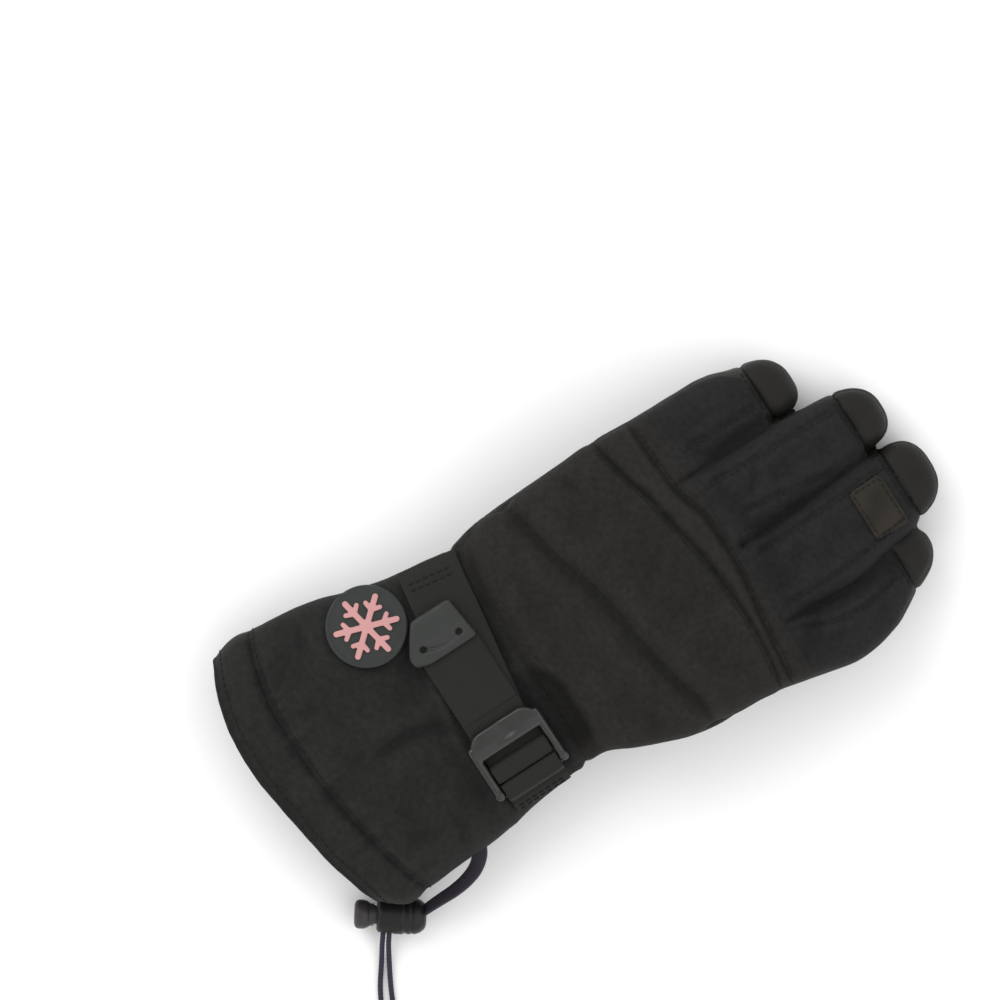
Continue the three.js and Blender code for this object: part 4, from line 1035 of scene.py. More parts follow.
def tapered(points, line, fade=12.0):
    """Distance to a line, and a share that fades out towards its ends."""
    distance, along = line_distance(points, line)
    whole = sum(math.dist(a, b) for a, b in zip(line[:-1], line[1:]))
    return distance, gentle(along, 0, fade) * (1 - gentle(along, whole - fade, whole))


def soft_noise(points, wavelength, seed, stretch=(1, 1, 1), octaves=3):
    """Smooth repeatable noise from crossed waves, about -1 to 1."""
    random = np.random.default_rng(seed)
    total = np.zeros(len(points))
    weight = 0.0
    for octave in range(octaves):
        for _ in range(6):
            way = random.normal(size=3)
            way *= np.asarray(stretch) / np.linalg.norm(way)
            phase = random.uniform(0, 2 * np.pi)
            total += np.sin(points @ way * 2 * np.pi / wavelength * 2**octave + phase) / 1.8**octave
        weight += 6**0.5 / 1.8**octave
    return total / weight


def bump_profile(distance, depth, width, shoulder=0.0):
    """A stitched valley with a padded shoulder on each side."""
    valley = -depth * np.exp(-((distance / width) ** 2))
    ridge = shoulder * np.exp(-(((distance - 3.2 * width) / (2.4 * width)) ** 2))
    return valley + ridge


print("noise spread:", np.round(np.std(soft_noise(body_points[:500], 30, 1)), 2))

# %% [markdown]
# Where the relief goes. The lines below were read off the glove: the seams of the finger tops, the
# creases of the cuff and of one finger, the edge where the hand panel bulges over the wrist, and
# the band that the strap presses down.

# %% Relief of the padding
PANEL_EDGE = [
    (-62, 124), (-54, 120), (-47, 115.5), (-40, 111), (-25, 105.5), (-10, 102.5), (4, 101.6), (10, 103),
    (15, 105.8), (20, 108.6), (26, 110.4), (38, 110.2), (50, 109), (58, 110.8), (66, 114),
]
FINGER_SEAMS = [
    [(-28, 199), (-27.5, 215), (-27, 236)],
    [(-11, 198), (-10, 225), (-8.5, 262)],
    [(5, 205), (8, 225), (10.6, 238), (12.2, 250)],
    [(22.5, 199), (22, 230), (21, 265)],
    [(45.5, 198), (46.5, 228), (43, 265)],
    [(55.5, 199.5), (59.5, 207), (62.5, 217), (63.8, 228), (61, 246)],
]
CUFF_CREASE = [(24, 66), (15, 62), (10.5, 56), (8.3, 46), (8, 36), (9.5, 26)]
RING_WRINKLE = [(-10, 222), (-2, 216.5), (8, 208)]
STRAP_LINE = [(-64, 92.6), (21.9, 79), (60, 80)]
BADGE = {"x": -0.294 * CUFF["width"], "y": 0.56 * CUFF["length"], "radius": 16.5, "thickness": 1.8}
HAND_TUCKS = [
    [(-50, 150), (-38, 156), (-30, 158)], [(73, 163), (62, 160), (55, 158)], [(66, 128), (56, 131), (48, 132)],
]
CUFF_TUCKS = [
    [(64, 40), (52, 44), (40, 43)], [(-57, 34), (-46, 30), (-36, 30)], [(40, 20), (46, 30), (48, 42)],
]

rest = form["rest"]
faces = form["faces"]
edges = edges_of(faces)
normals = normals_of(form["points"], faces)
plan = rest[:, :2]
own_y = pattern_y(rest[:, 0], rest[:, 1])
top = gentle(normals[:, 2], 0.05, 0.55)
on_thumb = form["thumb"] < 0
not_thumb = np.where(on_thumb, 0.0, 1.0)
lift = np.zeros(len(rest))

hand_zone = gentle(own_y, WRIST_Y - 4, WRIST_Y + 4)
finger_zone = gentle(rest[:, 1], ROOT_Y, ROOT_Y + 6)
rib_low = rest[:, 1] - curve_y(RIB_LOWER, rest[:, 0])
rib_high = curve_y(RIB_UPPER, rest[:, 0]) - rest[:, 1]
rib_in = np.minimum(rib_low, rib_high)
above_seam = gentle(rest[:, 2], SIDE_SEAM - 2, SIDE_SEAM + 3)
rib_top = above_seam * gentle(normals[:, 2], 0.3, 0.85)
lift += 1.6 * (1 - np.exp(-((np.maximum(rib_in, 0) / 2.4) ** 2))) * rib_top
for distance in (np.abs(rib_low), np.abs(rib_high)):
    lift += bump_profile(distance, 0.5, 1.7, 0.15) * above_seam

mid = np.abs(rest[:, 1] - curve_y(MID_SEAM, rest[:, 0]))
near_back = above_seam * np.where((rest[:, 1] > 110) & (rest[:, 1] < 170), 1.0, 0.0)
lift += (bump_profile(mid, 0.4, 2.0, 0.15) - 2.0 * np.exp(-((mid / 6.5) ** 2))) * near_back

edge_line = np.interp(rest[:, 0], *np.array(PANEL_EDGE).T)
past = edge_line - rest[:, 1]
wrist_pit = 1.4 + 2.8 * gentle(rest[:, 0], 7, 20) * (1 - gentle(rest[:, 0], 42, 58))
recess = gentle(past, -2.5, 6.0) * gentle(own_y, 87, 97) * top
lift -= wrist_pit * recess
lift += 1.2 * np.exp(-(((past + 7.0) / 6.5) ** 2)) * top * np.where(own_y > 97, 1.0, 0.0)
lift += bump_profile(np.abs(own_y - WRIST_Y), 1.0, 1.5, 0.0) * (1 - top) * not_thumb

for seam in FINGER_SEAMS:
    distance, share = tapered(plan, seam, 8.0)
    lift += bump_profile(distance, 0.5, 1.1, 0.15) * top * share
slit_gap = np.full(len(rest), 50.0)
for slit, start, end in zip(SLITS, (188.5, 196.5, 196.5), NOTCHES):
    distance = np.abs(rest[:, 0] - slit(rest[:, 1]))
    slit_gap = np.where(rest[:, 1] < end + 6, np.minimum(slit_gap, distance), slit_gap)
    reach = gentle(rest[:, 1], start - 2, start + 7) * (1 - gentle(rest[:, 1], end - 4, end + 3))
    lift -= (0.9 * np.exp(-((distance / 1.3) ** 2)) + 0.4 * np.exp(-((distance / 3.0) ** 2))) * reach * top
hole = np.hypot(rest[:, 0] - 17, rest[:, 1] - 200)
lift -= 1.6 * np.exp(-((hole / 1.9) ** 2)) * top
for name, edge in CAP_EDGES.items():
    k = names.index(name)
    inside = np.ones(len(rest), bool)
    if k > 0:
        inside &= rest[:, 0] > SLITS[k - 1](rest[:, 1])
    if k < 3:
        inside &= rest[:, 0] < SLITS[k](rest[:, 1])
    past_cap = np.where(inside, rest[:, 1] - edge, -50)
    lift += bump_profile(np.abs(past_cap), 0.5, 0.8, 0.12) + 0.15 * gentle(past_cap, 0, 1.6)
    creases = np.sin((rest[:, 1] - ROOT_Y) * 2 * np.pi / 19 + 0.6 * k) * np.sin(rest[:, 0] * 0.3 + k)
    lift += np.where(inside, 0.22 * creases * gentle(rest[:, 1], 202, 212) * gentle(slit_gap, 2, 8) * top, 0)

side = np.abs(rest[:, 2] - side_seam_z(rest[:, 1]))
lift += bump_profile(side, 0.8, 1.1, 0.2) * (1 - top) * np.where((own_y > WRIST_Y) & ~on_thumb, 1.0, 0.0)

hem_gap = np.abs(own_y - HEM_SEAM)
hem_edge = 0.45 + 0.55 * gentle(np.abs(normals[:, 2]), 0.1, 0.6)
lift += bump_profile(hem_gap, 0.8, 2.4, 0.25) * hem_edge
lift += 0.9 * np.sin(np.pi * np.clip(own_y / HEM_SEAM, 0, 1)) * hem_edge
corner = np.exp(-(((rest[:, 0] - 63) / 7) ** 2) - ((own_y - 8) / 6) ** 2)
lift += 2.2 * corner * gentle(normals[:, 0], 0.1, 0.6)
gathers = soft_noise(np.column_stack([rest[:, 0], rest[:, 1] * 0.12, rest[:, 2]]), 9.0, 5, octaves=2)
lift += 0.38 * gathers * np.exp(-hem_gap / 7.0)

for line, depth, width in ((CUFF_CREASE, 1.2, 5.0), (CUFF_CREASE, 0.4, 2.0), (RING_WRINKLE, 0.4, 1.6)):
    distance, share = tapered(plan, line, 16.0)
    lift += bump_profile(distance, depth, width, 0.12) * top * share
for line in (*HAND_TUCKS, *CUFF_TUCKS):
    distance, share = tapered(plan, line, 10.0)
    lift += bump_profile(distance, 0.45, 3.2, 0.15) * top * share
strap_gap, _ = line_distance(plan, STRAP_LINE)
pressed = (1 - gentle(strap_gap, 11.5, 15.5)) * gentle(rest[:, 2], 22, 30)
beside = np.exp(-(((strap_gap - 17) / 3.0) ** 2)) * gentle(rest[:, 2], 22, 30)
lift += (0.3 * pressed + 0.9 * beside) * (1 - hand_zone)

broad = soft_noise(rest, 48.0, 11, octaves=2)
medium = soft_noise(rest, 15.0, 12, stretch=(1, 0.7, 1), octaves=2)
lift += (0.5 + 0.3 * (1 - hand_zone)) * broad * not_thumb + 0.12 * medium
pucker = soft_noise(np.column_stack([rest[:, 0], rest[:, 1] * 0.25, rest[:, 2]]), 6.5, 14, octaves=1)
lift += 0.16 * pucker * np.exp(-np.minimum(mid, np.abs(rib_in)) / 4.0) * above_seam
badge_gap = np.hypot(rest[:, 0] - BADGE["x"], rest[:, 1] - BADGE["y"])
lift *= 1 - 0.9 * (1 - gentle(badge_gap, BADGE["radius"] - 1, BADGE["radius"] + 5)) * gentle(rest[:, 2], 14, 22)
form["points"] = form["points"] + normals * lift[:, None]
form["points"][:, 2] = np.maximum(form["points"][:, 2], 0.06)
print("relief from", round(lift.min(), 2), "to", round(lift.max(), 2), "mm")

# %% [markdown]
# The shaders paint ridges lighter, as rubbed wear and painted light, and valleys and seams darker,
# as painted shade. The difference between the skin and a smoothed copy of itself says which is
# which, and every cloth and leather piece carries it as its crest value.

# %% Crest values and cloth coordinates
def crest_of(points, triangles, near=3, far=26):
    lines = edges_of(triangles)
    out = normals_of(points, triangles)
    fine = points.copy()
    coarse = points.copy()
    for _ in range(near):
        fine = neighbour_mean(fine, lines)
    for _ in range(far):
        coarse = neighbour_mean(coarse, lines)
    sharp = ((points - fine) * out).sum(axis=1)
    wide = ((fine - coarse) * out).sum(axis=1)
    return np.clip(sharp / 0.16, -0.6, 0.6) + np.clip(wide / 0.6, -0.6, 0.6)


def girth_grid(points, centre, half_width, crown, y):
    """Cloth coordinates in metres: round the section from its crown, and along it."""
    off = points[:, 0] - centre
    outward = gentle(np.abs(off) / half_width, 0.3, 0.7)
    return np.column_stack([off + np.sign(off) * np.maximum(crown - points[:, 2], 0) * outward, y]) * MM


form["crest"] = crest_of(form["points"], form["faces"])
print("crest from", round(form["crest"].min(), 2), "to", round(form["crest"].max(), 2))

# %% [markdown]
# The skin is now parted into its panels. Each is its own piece: hem channel, cuff, back, rib,
# palm, thumb, and a sleeve and a leather cap for each finger. A panel gets its cloth's thickness
# inwards, with the brushed lining on its inner face.

# %% Panels
rest, points, faces = form["rest"], form["points"], form["faces"]
middle = rest[faces].mean(axis=1)
lower = middle[:, 2] < side_seam_z(middle[:, 1])
row = pattern_y(middle[:, 0], middle[:, 1])
thumb_faces = form["thumb"][faces].mean(axis=1) < 0
finger_of = np.zeros(len(faces), int)
for slit in SLITS:
    finger_of += middle[:, 0] > slit(middle[:, 1])
inside_rib = (middle[:, 1] > curve_y(RIB_LOWER, middle[:, 0])) & (middle[:, 1] < curve_y(RIB_UPPER, middle[:, 0]))
panels = {
    "hem_channel": row < HEM_SEAM,
    "gauntlet_cuff_cloth": (row >= HEM_SEAM) & (row < WRIST_Y),
    "palm_panel": (row >= WRIST_Y) & (middle[:, 1] < ROOT_Y) & lower,
    "knuckle_rib_padding": (row >= WRIST_Y) & (middle[:, 1] < ROOT_Y) & ~lower & inside_rib,
    "back_panel": (row >= WRIST_Y) & (middle[:, 1] < ROOT_Y) & ~lower & ~inside_rib,
}
for k, name in enumerate(names):
    here = (middle[:, 1] >= ROOT_Y) & (finger_of == k)
    panels[f"finger_{name}_sleeve"] = here & (middle[:, 1] < CAP_EDGES[name])
    panels[f"fingertip_cap_{name}_leather"] = here & (middle[:, 1] >= CAP_EDGES[name])
for name in panels:
    panels[name] &= ~thumb_faces
panels["thumb_sleeve"] = thumb_faces
panels["wiping_patch_suede"] = (
    (patch_field(middle) < 0) & (finger_of == 2) & (middle[:, 1] >= ROOT_Y)
)


def part_of(mask):
    """Points and faces of one panel, with the old numbers of its points."""
    kept = np.unique(faces[mask])
    number = np.full(len(points), -1)
    number[kept] = np.arange(len(kept))
    return kept, number[faces[mask]]


def panel(name, mask, thickness, slot, node, materials, lower_leather=False, raised=0.0):
    kept, triangles = part_of(mask)
    where = points[kept]
    if raised:
        where = where + normals_of(points, faces)[kept] * raised
    made = mesh_object(name, where, triangles)
    centre = (where[:, 0].min() + where[:, 0].max()) / 2
    half = (where[:, 0].max() - where[:, 0].min()) / 2
    along = pattern_y(rest[kept, 0], rest[kept, 1])
    uv_from(made, girth_grid(rest[kept], centre, half, where[:, 2].max(), along))
    crest = made.data.attributes.new("crest", "FLOAT", "POINT")
    crest.data.foreach_set("value", form["crest"][kept])
    if lower_leather:
        below = middle[mask][:, 2] < side_seam_z(middle[mask][:, 1])
        made.data.polygons.foreach_set("material_index", below.astype(int))
    thick = made.modifiers.new("thickness", "SOLIDIFY")
    thick.thickness = thickness * MM
    thick.offset = -1.0 if not raised else 1.0
    thick.use_quality_normals = True
    thick.material_offset = len(materials) - 1
    thick.material_offset_rim = 0
    return dressed(made, "glove", slot, *materials, replaces=(node,))


SHELL_PIECES = {}
for name, thickness, slot, node, materials in (
    ("hem_channel", 2.4, "cloth", "hem_band", (CUFF_CLOTH, LINING)),
    ("gauntlet_cuff_cloth", 2.4, "cloth", "gauntlet_cuff", (CUFF_CLOTH, LINING)),
    ("back_panel", 2.0, "cloth", "hand_back", (BACK_CLOTH, LINING)),
    ("knuckle_rib_padding", 2.0, "cloth", "knuckle_rib", (BACK_CLOTH, LINING)),
    ("palm_panel", 1.8, "palm_leather", "palm", (PALM_LEATHER, LINING)),
    ("thumb_sleeve", 1.6, "palm_leather", "thumb", (PALM_LEATHER, LINING)),
):
    SHELL_PIECES[name] = panel(name, panels[name], thickness, slot, node, materials)
for name in names:
    sleeve = f"finger_{name}_sleeve"
    SHELL_PIECES[sleeve] = panel(
        sleeve, panels[sleeve], 1.6, "cloth", f"finger_{name}", (FINGER_CLOTH, PALM_LEATHER, LINING), True
    )
    cap = f"fingertip_cap_{name}_leather"
    SHELL_PIECES[cap] = panel(
        cap, panels[cap], 1.6, "cap_leather", f"fingertip_cap_{name}", (CAP_LEATHER, LINING)
    )
SHELL_PIECES["wiping_patch_suede"] = panel(
    "wiping_patch_suede", panels["wiping_patch_suede"], PATCH["thickness"], "patch_leather",
    "middle_finger_patch", (PATCH_SUEDE,), raised=0.08,
)
for name, made in SHELL_PIECES.items():
    print(name, len(made.data.polygons), "triangles")

# %% [markdown]
# The strap and the stitches lie on this skin, so they ask it for its place. A ray from
# above finds the top at a place in the plan, and the nearest point of the skin tells how deep a
# piece would cut into it. Webbing is then lifted clear and evened out, as stiff cloth lies.

# %% Laying pieces on the skin
skin_tree = BVHTree.FromPolygons([tuple(p) for p in points], [tuple(f) for f in faces])


def top_of(x, y, tree=skin_tree):
    """Highest point of a surface at a place, and its direction there."""
    hit = tree.ray_cast(Vector((x, y, 120)), Vector((0, 0, -1)))
    return np.array(hit[0]), np.array(hit[1])


def rested(grid, tree, clear, rounds=8, even=0.5):
    """Lifts a band's middle surface clear of what it lies on, and evens it out."""
    grid = grid.copy()
    for turn in range(rounds):
        if turn:
            along = grid.copy()
            along[1:-1] = (grid[:-2] + grid[2:]) / 2
            across = along.copy()
            across[:, 1:-1] = (along[:, :-2] + along[:, 2:]) / 2
            grid = grid * (1 - even) + across * even
        for i in range(grid.shape[0]):
            for j in range(grid.shape[1]):
                place, way, _, _ = tree.find_nearest(Vector(grid[i, j]))
                off = (Vector(grid[i, j]) - place).dot(way)
                if off < clear:
                    grid[i, j] += np.array(way) * (clear - off)
    return grid


BAND_POINTS = 15


def across_offsets(width):
    return width / 2 * np.sin(np.pi / 2 * np.linspace(-1, 1, BAND_POINTS))


def strip(route, side, width):
    """A flat grid of points: a route, widened along one direction."""
    side = np.broadcast_to(np.asarray(side, float), route.shape)
    return route[:, None, :] + across_offsets(width)[None, :, None] * side[:, None, :]


def band(grid, thickness, edge=0.35):
    """Woven band with rounded selvedges round a grid of middle points."""
    along = np.gradient(grid, axis=0)
    across = np.gradient(grid, axis=1)
    out = np.cross(across, along)
    out /= np.linalg.norm(out, axis=2)[:, :, None]
    share = np.sin(np.pi / 2 * np.linspace(-1, 1, grid.shape[1]))
    half = thickness / 2 * (edge + (1 - edge) * np.sqrt(np.clip(1 - share**8, 0, 1)))
    upper = grid + out * half[None, :, None]
    lower = grid - out * half[None, :, None]
    points, faces = skin(np.concatenate([upper, lower[:, ::-1]], axis=1))
    middle_line = grid[:, grid.shape[1] // 2]
    reach = np.concatenate([[0], np.cumsum(np.linalg.norm(np.diff(middle_line, axis=0), axis=1))])
    width = np.linalg.norm(grid[0, -1] - grid[0, 0])
    place = np.concatenate([share, share[::-1]]) * width / 2
    values = [(p * MM, s * MM) for s in reach for p in place] + [(0, 0), (0, reach[-1] * MM)]
    return points, faces, values


def woven_piece(name, forms, slot, material, replaces=()):
    """One object from several bands, with their cloth coordinates."""
    points, faces = joined([form[:2] for form in forms])
    made = facing_out(mesh_object(name, points, faces))
    uv_from(made, np.vstack([form[2] for form in forms]))
    return dressed(made, "glove", slot, material, replaces=replaces)


print("top of the cuff at the strap, mm:", np.round(top_of(-10, 82)[0], 1))

# %% [markdown]
# Where the buckle lies. The CAD sets it on the highest place that the webbing crosses, tilted with
# the cuff. The same sums are repeated here, so the dressed buckle lies where its solid does.

# %% Buckle place
WEBBING_WIDTH = 25.4
WEBBING_THICKNESS = 1.4
LAYER = WEBBING_THICKNESS + 0.3
LOCK_AT = np.array([0.1742 * CUFF["width"], 0.79 * CUFF["length"]])
LOCK_LENGTH = 28.0
SLANT = math.radians(-9)
FOLDS = [
    (-0.42, 0.65, 0.1, 0.725, 0.045, 0.028), (0.1, 0.725, 0.6, 0.765, 0.045, 0.028),
    (0.1, 0.54, 0.42, 0.54, 0.06, 0.04), (-0.42, 0.53, 0.1, 0.515, 0.05, 0.03),
    (0.06, 0.16, 0.08, 0.29, 0.05, 0.026), (0.08, 0.29, 0.2, 0.34, 0.05, 0.02),
]


def fold_depth(x, y):
    depth = np.zeros(np.shape(x))
    plan = np.column_stack([np.ravel(x), np.ravel(y)])
    for x0, y0, x1, y1, breadth, deep in FOLDS:
        width = HAND["width"]
        ends = [(x0 * width, y0 * ROOT_Y), (x1 * width, y1 * ROOT_Y)]
        away = line_distance(plan, ends)[0].reshape(np.shape(x)) / (breadth * width)
        depth = np.maximum(depth, deep * width * np.exp(-away**2))
    return depth


def pattern_top(x, place, grow=0.0, folds=True):
    """Height of the pattern's own upper side at a place."""
    x, place = np.asarray(x, float), np.asarray(place, float)
    y = pattern_y(x, place)
    left, right, low, high = np.moveaxis(table_at(SHELL, y), -1, 0)
    share = np.minimum(np.abs(x - (left + right) / 2) / ((right - left) / 2 + grow), 0.999)
    rise = (1 - share**UPPER_ROUND) ** (1 / UPPER_ROUND)
    height = (low + high) / 2 + ((high - low) / 2 + grow) * rise
    return height - (fold_depth(x, y) * rise if folds else 0)


def webbing_bed(ahead, slant):
    """Height that webbing takes ahead of the buckle's lip."""
    c, s = math.cos(slant), math.sin(slant)
    side = np.array([-0.5, -0.25, 0, 0.25, 0.5]) * WEBBING_WIDTH
    tops = pattern_top(LOCK_AT[0] + ahead * c - side * s, LOCK_AT[1] + ahead * s + side * c)
    return float(tops.max()) + 1.0


LOCK_BED = webbing_bed(0, 0)
LOCK_TILT = math.atan2((LOCK_BED - webbing_bed(LOCK_LENGTH, 0)) * 0.8, LOCK_LENGTH)
STRAP_LIFT = 0.6 * LAYER
TAIL_LIFT = 1.6 * LAYER
LIP_END, BAR_START, BAR_END, REAR_START = (share * LOCK_LENGTH for share in (0.34, 0.57, 0.7, 0.9))
LOCK_BASE = LAYER + 0.1
LOCK_TOP = LOCK_BASE + 5.2
BAR_RECESS = 1.3
REAR_RECESS = 1.5


def on_lock(points):
    """Buckle millimetres to pattern millimetres."""
    turn = np.array(Matrix.Rotation(LOCK_TILT, 3, "Y"))
    return np.asarray(points, float) @ turn.T + (*LOCK_AT, LOCK_BED + STRAP_LIFT)


print("buckle bed, mm:", round(LOCK_BED, 2), "tilt, degrees:", round(math.degrees(LOCK_TILT), 2))

# %% [markdown]
# The wrist strap is 25 mm nylon webbing, 1.4 mm thick. It comes up from the little finger side,
# runs under the buckle, up through its rear slot, over the middle bar and back out under the lip.
# Flat webbing is modelled as what it is: a grid of points along the route, given a thickness.

# %% Wrist strap
half = WEBBING_THICKNESS / 2
slant_way = np.array([math.cos(SLANT), math.sin(SLANT), 0])
slant_side = np.array([-math.sin(SLANT), math.cos(SLANT), 0])
STRAP_STATIONS = [-0.5433, -0.5314, -0.507, -0.4625, -0.394, -0.295, -0.177, -0.079]
TAIL_STATIONS = [-0.049, -0.098, -0.157, -0.207, -0.248]
base_route = [
    (share * CUFF["width"], webbing_bed(share * CUFF["width"], SLANT) + half) for share in STRAP_STATIONS
]
base_route += [
    (ahead, LOCK_BED + STRAP_LIFT + half - ahead * math.tan(LOCK_TILT)) for ahead in (-1, 7, BAR_START - 1)
]
base_route = smooth_route([(*(LOCK_AT + a * slant_way[:2]), z) for a, z in base_route], 90)
base_grid = rested(strip(base_route, slant_side, WEBBING_WIDTH), skin_tree, 0.35 + half)
base_band = band(base_grid, WEBBING_THICKNESS)
over_bar = LOCK_TOP - BAR_RECESS + 0.3 + half
climb = BAR_END + 0.3 + half + 0.5
threaded_route = smooth_route([
    (BAR_START - 3, 0, half), (BAR_END - 0.6, 0, half), (BAR_END + 1.0, 0, half + 0.5), (climb, 0, half + 2.0),
    (climb + 0.3, 0, over_bar - 1.3), (climb + 0.1, 0, over_bar - 0.3), (climb - 1.0, 0, over_bar),
    (BAR_START + 0.7, 0, over_bar), (BAR_START - 0.5, 0, over_bar - 0.4), (BAR_START - 1.0, 0, over_bar - 1.6),
    (BAR_START - 1.1, 0, LAYER + half + 1.3), (BAR_START - 1.9, 0, LAYER + half + 0.2),
    (LIP_END + 1.0, 0, LAYER + half), (0, 0, LAYER + half), (-4, 0, LAYER + half),
], 110)
threaded_grid = strip(threaded_route, (0, 1, 0), WEBBING_WIDTH)
threaded_band = band(on_lock(threaded_grid.reshape(-1, 3)).reshape(threaded_grid.shape), WEBBING_THICKNESS)


def tail_bed(ahead):
    return max(webbing_bed(ahead, 0), webbing_bed(ahead, SLANT))


tail_route = [(-2, LOCK_BED + STRAP_LIFT + half + LAYER + 2 * math.tan(LOCK_TILT))]
tail_route += [
    (share * CUFF["width"], tail_bed(share * CUFF["width"]) + half + TAIL_LIFT - sag)
    for share, sag in zip((*TAIL_STATIONS, -0.285), (0.5, 1.0, 0.9, 0.4, 0.0, 0.0))
]
tail_route = smooth_route([(LOCK_AT[0] + a, LOCK_AT[1], z) for a, z in tail_route], 60)
under_tail = joined([(points, [tuple(f) for f in faces]), base_band[:2]])
tail_tree = BVHTree.FromPolygons([tuple(p) for p in under_tail[0]], under_tail[1])
tail_grid = strip(tail_route, (0, 1, 0), WEBBING_WIDTH)
short_of = np.array([
    max(top_of(x, y, tail_tree)[0][2] + half + 0.15 - z for x, y, z in row) for row in tail_grid
])
for _ in range(60):
    eased = short_of.copy()
    eased[1:-1] = (short_of[:-2] + short_of[2:]) / 2
    short_of = np.maximum(short_of, eased)
tail_grid[:, :, 2] += np.maximum(short_of, -0.6)[:, None]
tail_band = band(tail_grid, WEBBING_THICKNESS)
wrist_strap = woven_piece(
    "wrist_strap_webbing", [base_band, threaded_band, tail_band], "webbing", WEBBING, ("wrist_strap",)
)
print("strap lies from", np.round(base_grid.min(axis=(0, 1)), 1), "to", np.round(base_grid.max(axis=(0, 1)), 1))

# %% [markdown]
# The anchor is a short webbing folded round the buckle's rear bar. Both ends run back to the thumb
# side seam, one on the other, where they are sewn in.

# %% Anchor webbing
below = LOCK_BASE + BAR_RECESS - 0.3 - half
above = LOCK_TOP - REAR_RECESS + 0.3 + half
front = REAR_START - 0.3 - half - 0.8
seam_ahead = 0.2825 * CUFF["width"]
ahead_steps = [LOCK_LENGTH + t * (seam_ahead - LOCK_LENGTH) for t in (0.35, 0.6, 0.85, 1.0)]
seam_beds = [LOCK_BED + STRAP_LIFT - webbing_bed(a, 0) for a in ahead_steps]
lower_leg = on_lock([(REAR_START + 3.4, 0, below), (REAR_START + 0.6, 0, below), (front + 0.5, 0, below + 0.4)])
fold = on_lock([
    (front, 0, below + 1.4), (front - 0.3, 0, above - 1.2), (front, 0, above - 0.3), (REAR_START + 0.2, 0, above),
    (LOCK_LENGTH - 0.2, 0, above), (LOCK_LENGTH + 1.4, 0, above - 0.9),
])
bed_points = [(LOCK_AT[0] + a, LOCK_AT[1], webbing_bed(a, 0)) for a in ahead_steps]
lower_end = [(x, y, z + half) for x, y, z in bed_points[::-1]]
upper_end = [(x, y, z + half + LAYER * (1 - 0.55 * t)) for (x, y, z), t in zip(bed_points, (0.0, 0.2, 0.6, 1.0))]
anchor_route = smooth_route([*lower_end, *lower_leg, *fold, *upper_end], 120)
anchor_grid = rested(strip(anchor_route, (0, 1, 0), WEBBING_WIDTH), skin_tree, 0.2 + half, rounds=3, even=0.2)
anchor = woven_piece(
    "anchor_webbing_loop", [band(anchor_grid, WEBBING_THICKNESS)], "webbing", WEBBING, ("anchor_webbing",)
)
print("anchor webbing length, mm:", round(length_of(anchor_route), 1))

# %% [markdown]
# Moulded parts have no sharp edge: each is made from plates with eased edges, merged by a fine
# voxel remesh and smoothed a little, which gives the soft corners that a mould leaves.

# %% Plates with eased edges
def eased_outline(corners, rounds=14, count=200):
    """A closed outline with its corners rounded, as even points."""
    corners = np.asarray(corners, float)
    fine = evenly(np.vstack([corners, corners[:1]]), count + 1)[:-1]
    for _ in range(rounds):
        fine = (np.roll(fine, 1, axis=0) + 2 * fine + np.roll(fine, -1, axis=0)) / 4
    return fine


def slab(outline, low, high, ease=0.8):
    """A plate over an anticlockwise outline, with eased edges above and below."""
    way = np.roll(outline, -1, axis=0) - np.roll(outline, 1, axis=0)
    out = np.column_stack([way[:, 1], -way[:, 0]]) / np.linalg.norm(way, axis=1)[:, None]
    rings = []
    for base, sign, turns in ((low, 1, np.linspace(0, np.pi / 2, 5)), (high, -1, np.linspace(np.pi / 2, 0, 5))):
        for turn in turns:
            inset = outline - out * ease * (1 - np.sin(turn))
            rings.append(np.column_stack([inset, np.full(len(inset), base + sign * ease * (1 - np.cos(turn)))]))
    return skin(rings)


def plate(x0, x1, y0, y1, low, high, ease=0.8, rounds=6):
    return slab(eased_outline([(x0, y0), (x1, y0), (x1, y1), (x0, y1)], rounds, 120), low, high, ease)


def moulding(name, form, slot, material, body="glove", replaces=(), sharp=None):
    made = facing_out(mesh_object(name, *form))
    if sharp:
        made.data.set_sharp_from_angle(angle=math.radians(sharp))
    return dressed(made, body, slot, material, replaces=replaces)


print("eased plate has", len(plate(0, 10, 0, 5, 0, 2)[0]), "points")

# %% [markdown]
# The ladder lock buckle: a lip that the strap's free end comes out from, two rails, a middle bar
# that grips the strap, a rear bar for the anchor, and a small knob at each rear corner. The lip is
# hollowed a little in the middle, where a thumb lifts it.

# %% Ladder lock buckle
inner = WEBBING_WIDTH / 2 + 0.6
outer = inner + 3.4
LIP_BACK = LIP_END + 1.1
lip = eased_outline([
    (0, -10.6), (1.6, -13.6), (6.2, -outer), (LIP_BACK, -outer), (LIP_BACK, outer), (6.2, outer), (1.6, 13.6), (0, 10.6),
], 22)
lock_forms = [slab(lip, 2 * LAYER + 0.1, LOCK_TOP, 1.1)]
for side in (-1, 1):
    y0, y1 = sorted((side * inner, side * outer))
    lock_forms.append(plate(3.4, LOCK_LENGTH, y0, y1, LOCK_BASE, LOCK_TOP, 1.3, 10))
    turns = np.linspace(0, 2 * np.pi, 60, endpoint=False)
    knob = np.column_stack([26.0 + 2.1 * np.cos(turns), side * (outer - 1.6) + 2.1 * np.sin(turns)])
    lock_forms.append(slab(knob, LOCK_BASE + 0.6, LOCK_TOP + 0.35, 1.2))
lock_forms.append(plate(BAR_START, BAR_END, -inner - 1, inner + 1, LOCK_BASE, LOCK_TOP - BAR_RECESS, 1.3))
rear = (LOCK_BASE + BAR_RECESS, LOCK_TOP - REAR_RECESS)
